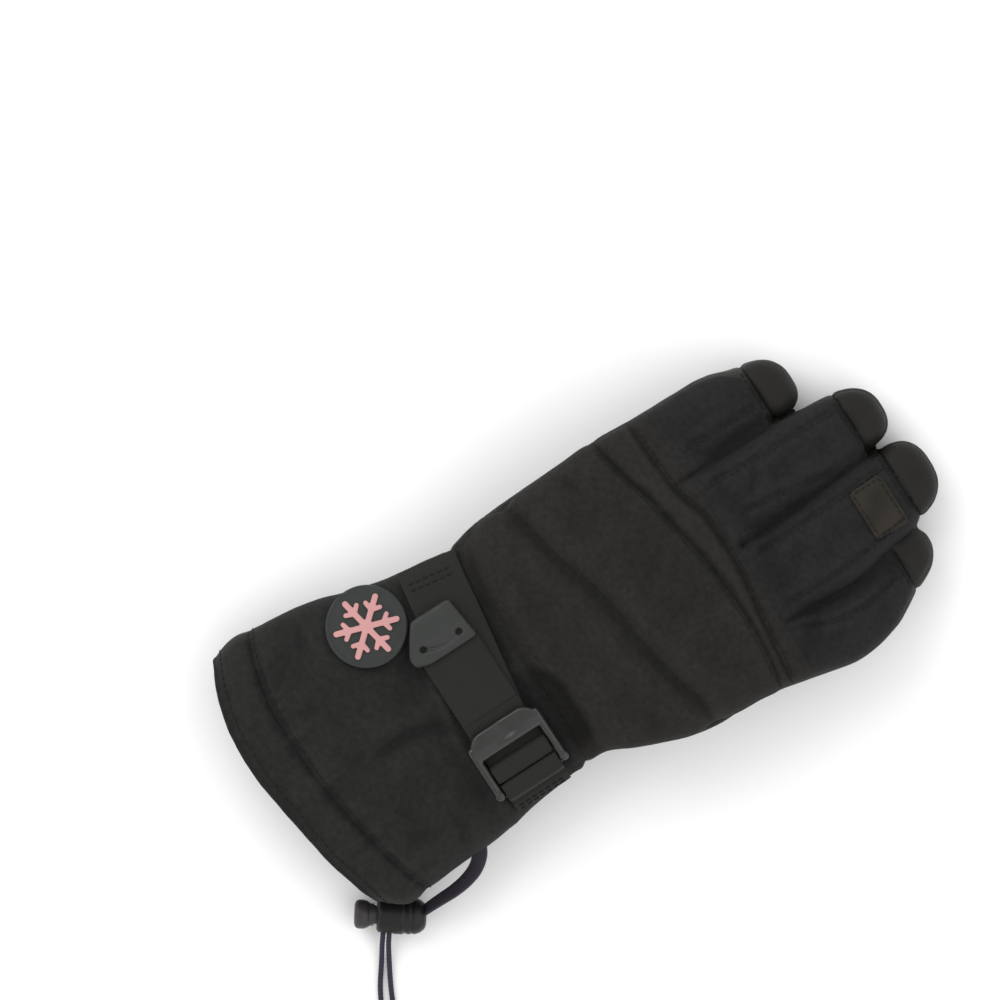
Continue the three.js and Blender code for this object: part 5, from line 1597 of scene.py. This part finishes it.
lock_forms.append(plate(REAR_START, LOCK_LENGTH, -inner - 1, inner + 1, *rear, 1.0))
lock_points, lock_faces = merged(*joined(lock_forms), 0.4)
lock_points = evened(lock_points, edges_of(lock_faces), 5)
x, y, z = lock_points.T
on_lip = gentle(z, LOCK_TOP - 2.2, LOCK_TOP - 1.2) * (1 - gentle(x, LIP_BACK - 1.4, LIP_BACK + 0.6))
hollow = 0.9 * np.exp(-((y - 1.5) / 4.2) ** 2) * (1 - gentle(x, 6.0, 8.6))
lock_points[:, 2] -= on_lip * (hollow + 0.75 * (1 - gentle(x, 0.5, 6.5)))
buckle = moulding(
    "ladder_lock_buckle", (on_lock(lock_points), lock_faces), "buckle_plastic", BUCKLE_ACETAL,
    replaces=("ladder_lock",),
)
print("buckle:", len(lock_points), "points")

# %% [markdown]
# The pull tab is moulded over the strap's free end. Its inner half is a raised grip, and a curved
# groove with a hole at each end separates it from the half that holds the webbing.

# %% Pull tab
TAB_LENGTH = 19.0
TAB_THICKNESS = 3.6
tab_ahead = TAIL_STATIONS[-1] * CUFF["width"] - 0.9
tab_beds = [tail_bed(tab_ahead - t * TAB_LENGTH) for t in (0, 0.5, 1)]
tab_low = max(tab_beds[0], tab_beds[1]) + TAIL_LIFT - 0.3
tab_fall = min(math.atan2(tab_beds[2] - tab_beds[0], TAB_LENGTH), 0)
TAB_EDGE = [
    (-29, 71.5), (-22, 66.5), (-16.4, 63.0), (-12.2, 63.6), (-10.4, 69.5), (-10.4, 91.6), (-29, 89.5),
]
TAB_GROOVE = smooth_route([(-15.5, 86), (-14.2, 82), (-14, 78), (-15.1, 74), (-17, 70)], 24)
tab_points, tab_faces = merged(*slab(eased_outline(TAB_EDGE, 16), 0, TAB_THICKNESS, 1.1), 0.38)
tab_points = evened(tab_points, edges_of(tab_faces), 4)
x, y, z = tab_points.T
upper_half = gentle(z, TAB_THICKNESS * 0.5, TAB_THICKNESS * 0.9)
groove_gap = line_distance(tab_points[:, :2], TAB_GROOVE)[0]
dimple_gap = np.minimum(np.hypot(x + 15.5, y - 86), np.hypot(x + 17, y - 70))
relief = 0.55 * (1 - gentle(x, -26.5, -18.5)) * gentle(x, -29.5, -27.8)
relief -= 0.75 * np.exp(-((groove_gap / 0.75) ** 2)) + 1.9 * np.exp(-((dimple_gap / 1.25) ** 4))
relief -= 0.35 * gentle(x, -13.6, -11.0)
tab_points[:, 2] += upper_half * relief
tab_points[:, 2] += tab_low + (LOCK_AT[0] + tab_ahead - x) * math.tan(tab_fall)
pull_tab = moulding(
    "strap_pull_tab_grip", (tab_points, tab_faces), "buckle_plastic", TAB_ACETAL, replaces=("strap_pull_tab",)
)
print("tab:", len(tab_points), "points, underside at", round(tab_low, 1), "mm")

# %% [markdown]
# The badge is a round rubber moulding that bends over the cuff. It is made on rings of a polar
# grid: a raised rim, a flat face inside it and a thin wall down to the cloth. The emblem on it is
# a plain six-armed snowflake in pink rubber, drawn flat, merged, and then bent over the same face.

# %% Badge and snowflake
BADGE_PROFILE = [
    (0.0, 1.8), (3.0, 1.8), (6.0, 1.8), (9.0, 1.8), (12.0, 1.8), (14.2, 1.8), (14.7, 1.85), (15.1, 2.1),
    (15.5, 2.3), (15.9, 2.3), (16.25, 2.05), (16.45, 1.6), (16.5, 1.0), (16.5, 0.2),
]


BADGE_BEND = 3.0


def cuff_top(u, v):
    """Height of the cuff at places of the badge's plan."""
    return pattern_top(BADGE["x"] + np.asarray(u, float), BADGE["y"] + np.asarray(v, float), 0.3, False)


def on_badge(u, v, rise):
    """Badge plan and rise above the cloth to pattern millimetres. The disc bends only a little."""
    level = float(cuff_top(0, 0))
    slope_u = float(cuff_top(8, 0) - cuff_top(-8, 0)) / 16
    slope_v = float(cuff_top(0, 8) - cuff_top(0, -8)) / 16
    cloth = cuff_top(u, v)
    flat = level + slope_u * u + slope_v * v
    fall = np.maximum(flat - cloth, 0)
    face = np.where(fall > 0, flat - BADGE_BEND * (1 - np.exp(-fall / BADGE_BEND)), cloth)
    share = gentle(rise, 0.6, 1.4)
    return np.column_stack([BADGE["x"] + u, BADGE["y"] + v, cloth * (1 - share) + face * share + rise - 0.3])


turns = np.linspace(0, 2 * np.pi, 120, endpoint=False)
rings = []
for radius, rise in [(max(r, 0.4), h + 0.3) for r, h in BADGE_PROFILE]:
    rings.append(on_badge(radius * np.cos(turns), radius * np.sin(turns), np.full(len(turns), rise)))
badge_points, badge_faces = skin(rings)
badge = moulding(
    "badge_disc_rubber", (badge_points, badge_faces), "badge_rubber", BADGE_RUBBER, replaces=("badge_disc",)
)


def flat_bar(start, angle, length, width):
    """A round-ended bar in the badge's plan."""
    ends = np.linspace(-np.pi / 2, np.pi / 2, 13)
    tip = np.column_stack([length + width / 2 * np.cos(ends), width / 2 * np.sin(ends)])
    tail = np.column_stack([-width / 2 * np.cos(ends), -width / 2 * np.sin(ends)])
    outline = np.vstack([tip, tail])
    turn = np.array([[math.cos(angle), -math.sin(angle)], [math.sin(angle), math.cos(angle)]])
    return slab(outline @ turn.T + start, -1.0, 0.8, 0.3)


flake_forms = []
for k in range(6):
    angle = math.pi / 3 * k + 0.2
    way = np.array([math.cos(angle), math.sin(angle)])
    flake_forms.append(flat_bar((0, 0), angle, 12.4, 2.4))
    for side in (-1, 1):
        flake_forms.append(flat_bar(way * 6.9, angle + side * math.radians(56), 3.6, 1.9))
flake_points, flake_faces = merged(*joined(flake_forms), 0.3)
flake_points = evened(flake_points, edges_of(flake_faces), 3)
snowflake = moulding(
    "badge_snowflake_rubber",
    (on_badge(flake_points[:, 0], flake_points[:, 1], flake_points[:, 2] + 2.15), flake_faces),
    "badge_pink", PINK_RUBBER, replaces=("badge_snowflake",),
)
print("snowflake:", len(flake_points), "points")

# %% [markdown]
# The side loop is a flat tape that stands off the thumb side of the cuff and holds the cord lock
# near it. It leans outwards, and both of its ends are sewn down.

# %% Side tape loop
TAPE_WIDTH = 7.0
TAPE_ROUTE = [
    (0.456, 0.462, 0.545), (0.484, 0.456, 0.54), (0.513, 0.436, 0.51), (0.54, 0.396, 0.465), (0.557, 0.34, 0.42),
    (0.565, 0.275, 0.37), (0.566, 0.215, 0.33), (0.567, 0.165, 0.28), (0.569, 0.115, 0.21),
]
tape_route = smooth_route(np.array(TAPE_ROUTE) * (CUFF["width"], CUFF["length"], CUFF["height"]), 70)
tape_ways = np.gradient(tape_route, axis=0)
tape_ways[:, 2] = 0
tape_ways /= np.linalg.norm(tape_ways, axis=1)[:, None]
outward = np.column_stack([tape_ways[:, 1], -tape_ways[:, 0], np.zeros(70)])
open_out = np.linspace(0.93, 0.5, 70)[:, None]
lean = np.array([0, 0, 1]) * np.sqrt(1 - open_out**2) - open_out * outward
tape = woven_piece(
    "side_tape_loop_tape", [band(strip(tape_route, lean, TAPE_WIDTH), 1.3)], "tape", TAPE, ("side_tape_loop",)
)
print("tape length, mm:", round(length_of(tape_route), 1))

# %% [markdown]
# The cord lock is a spring toggle: a barrel, and a button whose stem slides inside it. Both are
# turned from profiles, and the holes for the two strands are carved through them. The button is
# the one moving part, so it rides on its own body.

# %% Cord lock
LOCK_AXIS = math.radians(54.8)
CORD_HOLE = 2 * STRAND + 1.2
BARREL_START = -CORD_HOLE / 2 - 1.2
BARREL_END = BARREL_START + 20.0
STEM = 9.0
TRAVEL = 2.5


def along_lock(points):
    turn = np.array(Matrix.Rotation(LOCK_AXIS, 3, "Z"))
    return np.asarray(points, float) @ turn.T + LOCK_PLACE + (0, 0, BARREL / 2)


def carved(name, form, cutters):
    """A turned form with others cut out of it."""
    made = facing_out(mesh_object(name, along_lock(form[0]), form[1]))
    for cutter in cutters:
        tool = facing_out(mesh_object("cutter", along_lock(cutter[0]), cutter[1]))
        modifier = made.modifiers.new("hole", "BOOLEAN")
        modifier.operation = "DIFFERENCE"
        modifier.solver = "EXACT"
        modifier.object = tool
        graph = bpy.context.evaluated_depsgraph_get()
        mesh = bpy.data.meshes.new_from_object(made.evaluated_get(graph))
        made.modifiers.clear()
        made.data = mesh
        bpy.data.objects.remove(tool)
    made.data.polygons.foreach_set("use_smooth", [True] * len(made.data.polygons))
    made.data.set_sharp_from_angle(angle=math.radians(38))
    return made


def cord_hole(longer):
    """A square rod across the lock, with eased corners, for both strands."""
    size = CORD_HOLE / 2
    outline = eased_outline([(-size - longer, -size), (size, -size), (size, size), (-size - longer, size)], 4, 64)
    rings = [np.column_stack([outline[:, 0], np.full(64, y), outline[:, 1]]) for y in (-12, 12)]
    return skin(rings)


r = BARREL / 2
barrel_profile = rounded_profile([
    (0, BARREL_START), (r - 1.4, BARREL_START), (r - 0.2, BARREL_START + 1.1), (r, BARREL_START + 2.4),
    (r, BARREL_END - 9.4), (r - 0.45, BARREL_END - 8.9), (r - 0.45, BARREL_END - 8.1), (r, BARREL_END - 7.6),
    (r, BARREL_END - 6.6), (r - 0.45, BARREL_END - 6.1), (r - 0.45, BARREL_END - 5.3), (r - 0.1, BARREL_END - 4.8),
    (r - 0.9, BARREL_END - 2.4), (r - 2.4, BARREL_END - 0.7), (r - 4.2, BARREL_END), (0, BARREL_END),
])
bore_end = BARREL_START + 13.2 + TRAVEL + 0.3
bore = lathe([(0.01, BARREL_START - 2), (STEM / 2 + 0.3, BARREL_START - 2), (STEM / 2 + 0.3, bore_end), (0.01, bore_end)])
barrel = carved("cord_lock_barrel_moulding", lathe(barrel_profile, 96), [bore, cord_hole(0)])
dressed(barrel, "glove", "cord_lock_plastic", LOCK_ACETAL, replaces=("cord_lock_barrel",))
head_end = BARREL_START - TRAVEL - 0.6
head = 5.9
button_profile = rounded_profile([
    (0, head_end - 6.0), (head - 1.9, head_end - 6.0), (head - 0.5, head_end - 5.4), (head, head_end - 4.2),
    (head, head_end - 2.2), (head - 0.5, head_end - 0.7), (STEM / 2 + 0.3, head_end), (STEM / 2, head_end + 0.4),
    (STEM / 2, BARREL_START + 13.2), (0, BARREL_START + 13.2),
])
button = carved("cord_lock_button_moulding", lathe(button_profile, 80), [cord_hole(TRAVEL)])
dressed(button, "cord_lock_button", "cord_lock_plastic", BUTTON_ACETAL, replaces=("cord_lock_button",))
print("barrel:", len(barrel.data.polygons), "faces, button:", len(button.data.polygons), "faces")

# %% [markdown]
# The cloth is turned over at the mouth and sewn into a roll that the drawcord runs in. The roll is
# a tube along the open edge of the skin, which is found as the edges that only one triangle has.

# %% Rolled edge of the mouth
def open_loop(triangles):
    """The points round the one open edge, in order."""
    pairs = np.sort(np.vstack([triangles[:, [0, 1]], triangles[:, [1, 2]], triangles[:, [2, 0]]]), axis=1)
    single, count = np.unique(pairs, axis=0, return_counts=True)
    single = single[count == 1]
    next_to = {}
    for a, b in single:
        next_to.setdefault(a, []).append(b)
        next_to.setdefault(b, []).append(a)
    loops, left = [], set(next_to)
    while left:
        here = left.pop()
        loop, before = [here], None
        while True:
            ways = [n for n in next_to[here] if n != before and n in left]
            if not ways:
                break
            before, here = here, ways[0]
            left.discard(here)
            loop.append(here)
        loops.append(loop)
    return max(loops, key=len)


ROLL = 1.5
mouth = open_loop(faces)
outs = normals_of(points, faces)
rim = points[mouth] - outs[mouth] * 1.2
rim = evenly(np.vstack([rim, rim[:1]]), 261)[:-1]
for _ in range(3):
    rim = (np.roll(rim, 1, axis=0) + 2 * rim + np.roll(rim, -1, axis=0)) / 4
rim[:, 2] = np.maximum(rim[:, 2], ROLL + 0.1)
rim = np.roll(rim, -int(rim[:, 2].argmin()), axis=0)
ways = np.roll(rim, -1, axis=0) - np.roll(rim, 1, axis=0)
ways /= np.linalg.norm(ways, axis=1)[:, None]
across = np.cross(ways, (0, 1, 0))
across /= np.linalg.norm(across, axis=1)[:, None]
third = np.cross(ways, across)
angles = 2 * np.pi * np.arange(14) / 14
wave = 1 + 0.08 * soft_noise(rim, 9.0, 21, octaves=2)
rings = rim[:, None] + ROLL * wave[:, None, None] * (
    np.cos(angles)[None, :, None] * across[:, None] + np.sin(angles)[None, :, None] * third[:, None]
)
rings = np.concatenate([rings, rings[:1]])
roll_points, roll_faces = skin(rings, open_ends=True)
reach = np.arange(len(rings)) * length_of(np.vstack([rim, rim[:1]])) / len(rim)
roll_grid = [(a * ROLL * MM, s * MM) for s in reach for a in angles]
roll = facing_out(mesh_object("hem_rolled_edge", roll_points, roll_faces))
uv_from(roll, roll_grid)
dressed(roll, "glove", "cloth", CUFF_CLOTH)
print("rolled edge round the mouth, mm:", round(float(reach[-1]), 1))

# %% [markdown]
# Stitches. Bonded nylon thread, 0.55 mm thick, sewn at about three and a half stitches a
# centimetre. Each stitch is a small bead, half sunk in the cloth, placed along a row that is laid
# on the skin. Rows that run across the top are dropped onto it from above, and rows that go right
# round the cuff are brought to the nearest place on it.

# %% Stitch rows
PITCH = 3.1
STITCH = 2.3
STITCH_RADIUS = 0.28


def dropped(line, tree=skin_tree):
    """A plan line laid on the top of the glove: places and directions."""
    line = evenly(np.asarray(line, float), max(int(length_of(np.asarray(line, float)) / 0.7), 4))
    hits = [top_of(x, y, tree) for x, y in line[:, :2]]
    return np.array([h[0] for h in hits]), np.array([h[1] for h in hits])


def brought(line, tree=skin_tree):
    """A line in space brought to the nearest place on the glove."""
    line = evenly(np.asarray(line, float), int(length_of(np.asarray(line, float)) / 0.7))
    hits = [tree.find_nearest(Vector(p)) for p in line]
    return np.array([h[0] for h in hits]), np.array([h[1] for h in hits])


def stitch_row(places, ways, pitch=PITCH, size=STITCH, radius=STITCH_RADIUS):
    """Beads along a row on a surface."""
    for _ in range(2):
        ways = np.vstack([ways[:1], (ways[:-2] + ways[1:-1] + ways[2:]) / 3, ways[-1:]])
    reach = np.concatenate([[0], np.cumsum(np.linalg.norm(np.diff(places, axis=0), axis=1))])

    def at(s, values):
        return np.array([np.interp(s, reach, values[:, k]) for k in range(3)])

    forms = []
    for start in np.arange(0.4, reach[-1] - size, pitch):
        ends = at(start, places), at(start + size, places)
        middle, out = at(start + size / 2, places), at(start + size / 2, ways)
        along = ends[1] - ends[0]
        along /= np.linalg.norm(along)
        side = np.cross(out, along)
        side /= np.linalg.norm(side)
        out = np.cross(along, side)
        centre = middle + out * radius * 0.35
        rings = []
        for t, fat in ((-1, 0.25), (-0.88, 0.75), (-0.45, 1), (0.45, 1), (0.88, 0.75), (1, 0.25)):
            bow = out * (1 - t * t) * radius * 0.4
            turns = 2 * np.pi * np.arange(6) / 6
            rings.append(centre + bow + along * t * size / 2 + radius * fat * (
                np.cos(turns)[:, None] * side + np.sin(turns)[:, None] * out))
        forms.append(skin(rings))
    return forms


def sewn(name, rows, slot="cloth"):
    """All the rows of one area as one object."""
    forms = [form for row in rows for form in stitch_row(*row)]
    points, faces = joined(forms)
    made = facing_out(mesh_object(name, points, faces))
    uv_from(made, points[:, :2] * MM)
    dressed(made, "glove", slot, THREAD_NYLON)
    print(name, len(forms), "stitches")
    return made


def shifted(knots, by):
    return [(x, y + by) for x, y in knots]


def trimmed(knots, low, high):
    fine = smooth_route(np.column_stack([np.array(knots, float), np.zeros(len(knots))]), 160)
    return fine[(fine[:, 0] > low) & (fine[:, 0] < high)]


hem_rows = []
for y in (HEM_SEAM + 1.9, 3.2):
    ring = shell_ring(y)
    hem_rows.append(brought(np.vstack([ring, ring[:1]])))
sewn("hem_stitches", hem_rows)
back_rows = [
    dropped(trimmed(shifted(RIB_UPPER, 1.9), -46, 74)), dropped(trimmed(shifted(RIB_LOWER, -1.9), -46, 70)),
    dropped(trimmed(shifted(MID_SEAM, 1.9), -46, 66)),
]
sewn("back_stitches", back_rows)
finger_rows = []
for k, (name, edge) in enumerate(CAP_EDGES.items()):
    near, far = table_at(FINGER_ROWS[name], edge)[:2]
    finger_rows.append(dropped([(near + 2.5, edge - 1.7), (far - 2.5, edge - 1.7)]))
for seam in FINGER_SEAMS:
    finger_rows.append(dropped([(x + 1.5, y) for x, y in seam]))
sewn("finger_stitches", finger_rows)
inset = 1.3
w, l = PATCH["half"][0] - inset, PATCH["half"][1] - inset
patch_line = np.array([(-w, -l), (w, -l), (w, l), (-w, l), (-w, -l)]) + (PATCH["x"], PATCH["y"])
patch_places, patch_ways = dropped(patch_line)
sewn("patch_stitches", [(patch_places + patch_ways * (PATCH["thickness"] + 0.08), patch_ways)], "patch_leather")

# %% [markdown]
# The webbing's own stitches: two rows across the anchor where it is sewn to the side seam, and a bar
# of two rows across the strap where it comes out of the little finger side.

# %% Strap stitches
def band_row(grid, i0, j0, i1, j1, thickness=WEBBING_THICKNESS):
    """A straight row on the upper face of a band, between two of its grid places."""
    steps = 24
    rows = np.linspace(i0, i1, steps)
    columns = np.linspace(j0, j1, steps)
    out = np.cross(np.gradient(grid, axis=1), np.gradient(grid, axis=0))
    out /= np.linalg.norm(out, axis=2)[:, :, None]
    places, ways = [], []
    for a, b in zip(rows, columns):
        i, j = min(int(a), grid.shape[0] - 2), min(int(b), grid.shape[1] - 2)
        s, t = a - i, b - j
        for target, source in ((places, grid), (ways, out)):
            target.append(
                source[i, j] * (1 - s) * (1 - t) + source[i + 1, j] * s * (1 - t)
                + source[i, j + 1] * (1 - s) * t + source[i + 1, j + 1] * s * t
            )
    places, ways = np.array(places), np.array(ways)
    ways *= np.sign(ways[:, 2:3].mean())
    return places + ways * thickness / 2, ways


n = len(anchor_grid) - 1
strap_rows = [
    band_row(anchor_grid, n - 3, 2, n - 3, 12), band_row(anchor_grid, n - 9, 2, n - 9, 12),
    band_row(base_grid, 7, 2, 7, 12), band_row(base_grid, 10, 2, 10, 12),
]
sewn("strap_stitches", strap_rows, "webbing")

# %% [markdown]
# The table is a wide pale surface. One large soft light hangs over the upper left of the picture
# and a weaker one stands on the other side, as in a product photograph, with a bright room round
# them. The plain display transform keeps the dyes at their own values.

# %% Table and studio light
SHEET = 6.0
table = mesh_object("pale_table", (np.array([(-1, -1, 0), (1, -1, 0), (1, 1, 0), (-1, 1, 0)]) * SHEET * 500), [(0, 1, 2, 3)])
table.location.z = -0.00005
paint, paint_tree, paint_shader = surface("matt_white_table", **{"Roughness": 0.9, "IOR": 1.45})
paper_space = add(paint_tree, "ShaderNodeTexCoord").outputs["Object"]
paint_tree.links.new(mottled(paint_tree, linear("#f4f4f4"), 3.0, 0.01, paper_space), paint_shader.inputs["Base Color"])
table.data.materials.append(paint)


def area_light(name, place, size, power, tint=(1, 1, 1)):
    data = bpy.data.lights.new(name, "AREA")
    data.energy, data.color, data.size = power, tint, size
    lamp = bpy.data.objects.new(name, data)
    bpy.context.scene.collection.objects.link(lamp)
    lamp.location = place
    lamp.rotation_mode = "QUATERNION"
    lamp.rotation_quaternion = Vector(place).to_track_quat("Z", "Y")
    return lamp


def from_picture(to_right, to_top, height):
    """A place over the table, given as it lies in the picture."""
    spot = right * to_right + upward * to_top
    return (spot.x, spot.y, height)


area_light("key", from_picture(-0.75, 0.85, 1.15), 1.2, 10.0)
area_light("fill", from_picture(0.9, -0.5, 1.1), 1.6, 7.0)
area_light("edge", from_picture(-1.1, -0.7, 0.5), 0.9, 2.5)
world = bpy.data.worlds.new("room")
world.use_nodes = True
world.node_tree.nodes["Background"].inputs[0].default_value = linear("#fbfbfb")
world.node_tree.nodes["Background"].inputs[1].default_value = 0.97
bpy.context.scene.world = world
bpy.context.scene.view_settings.view_transform = "Standard"
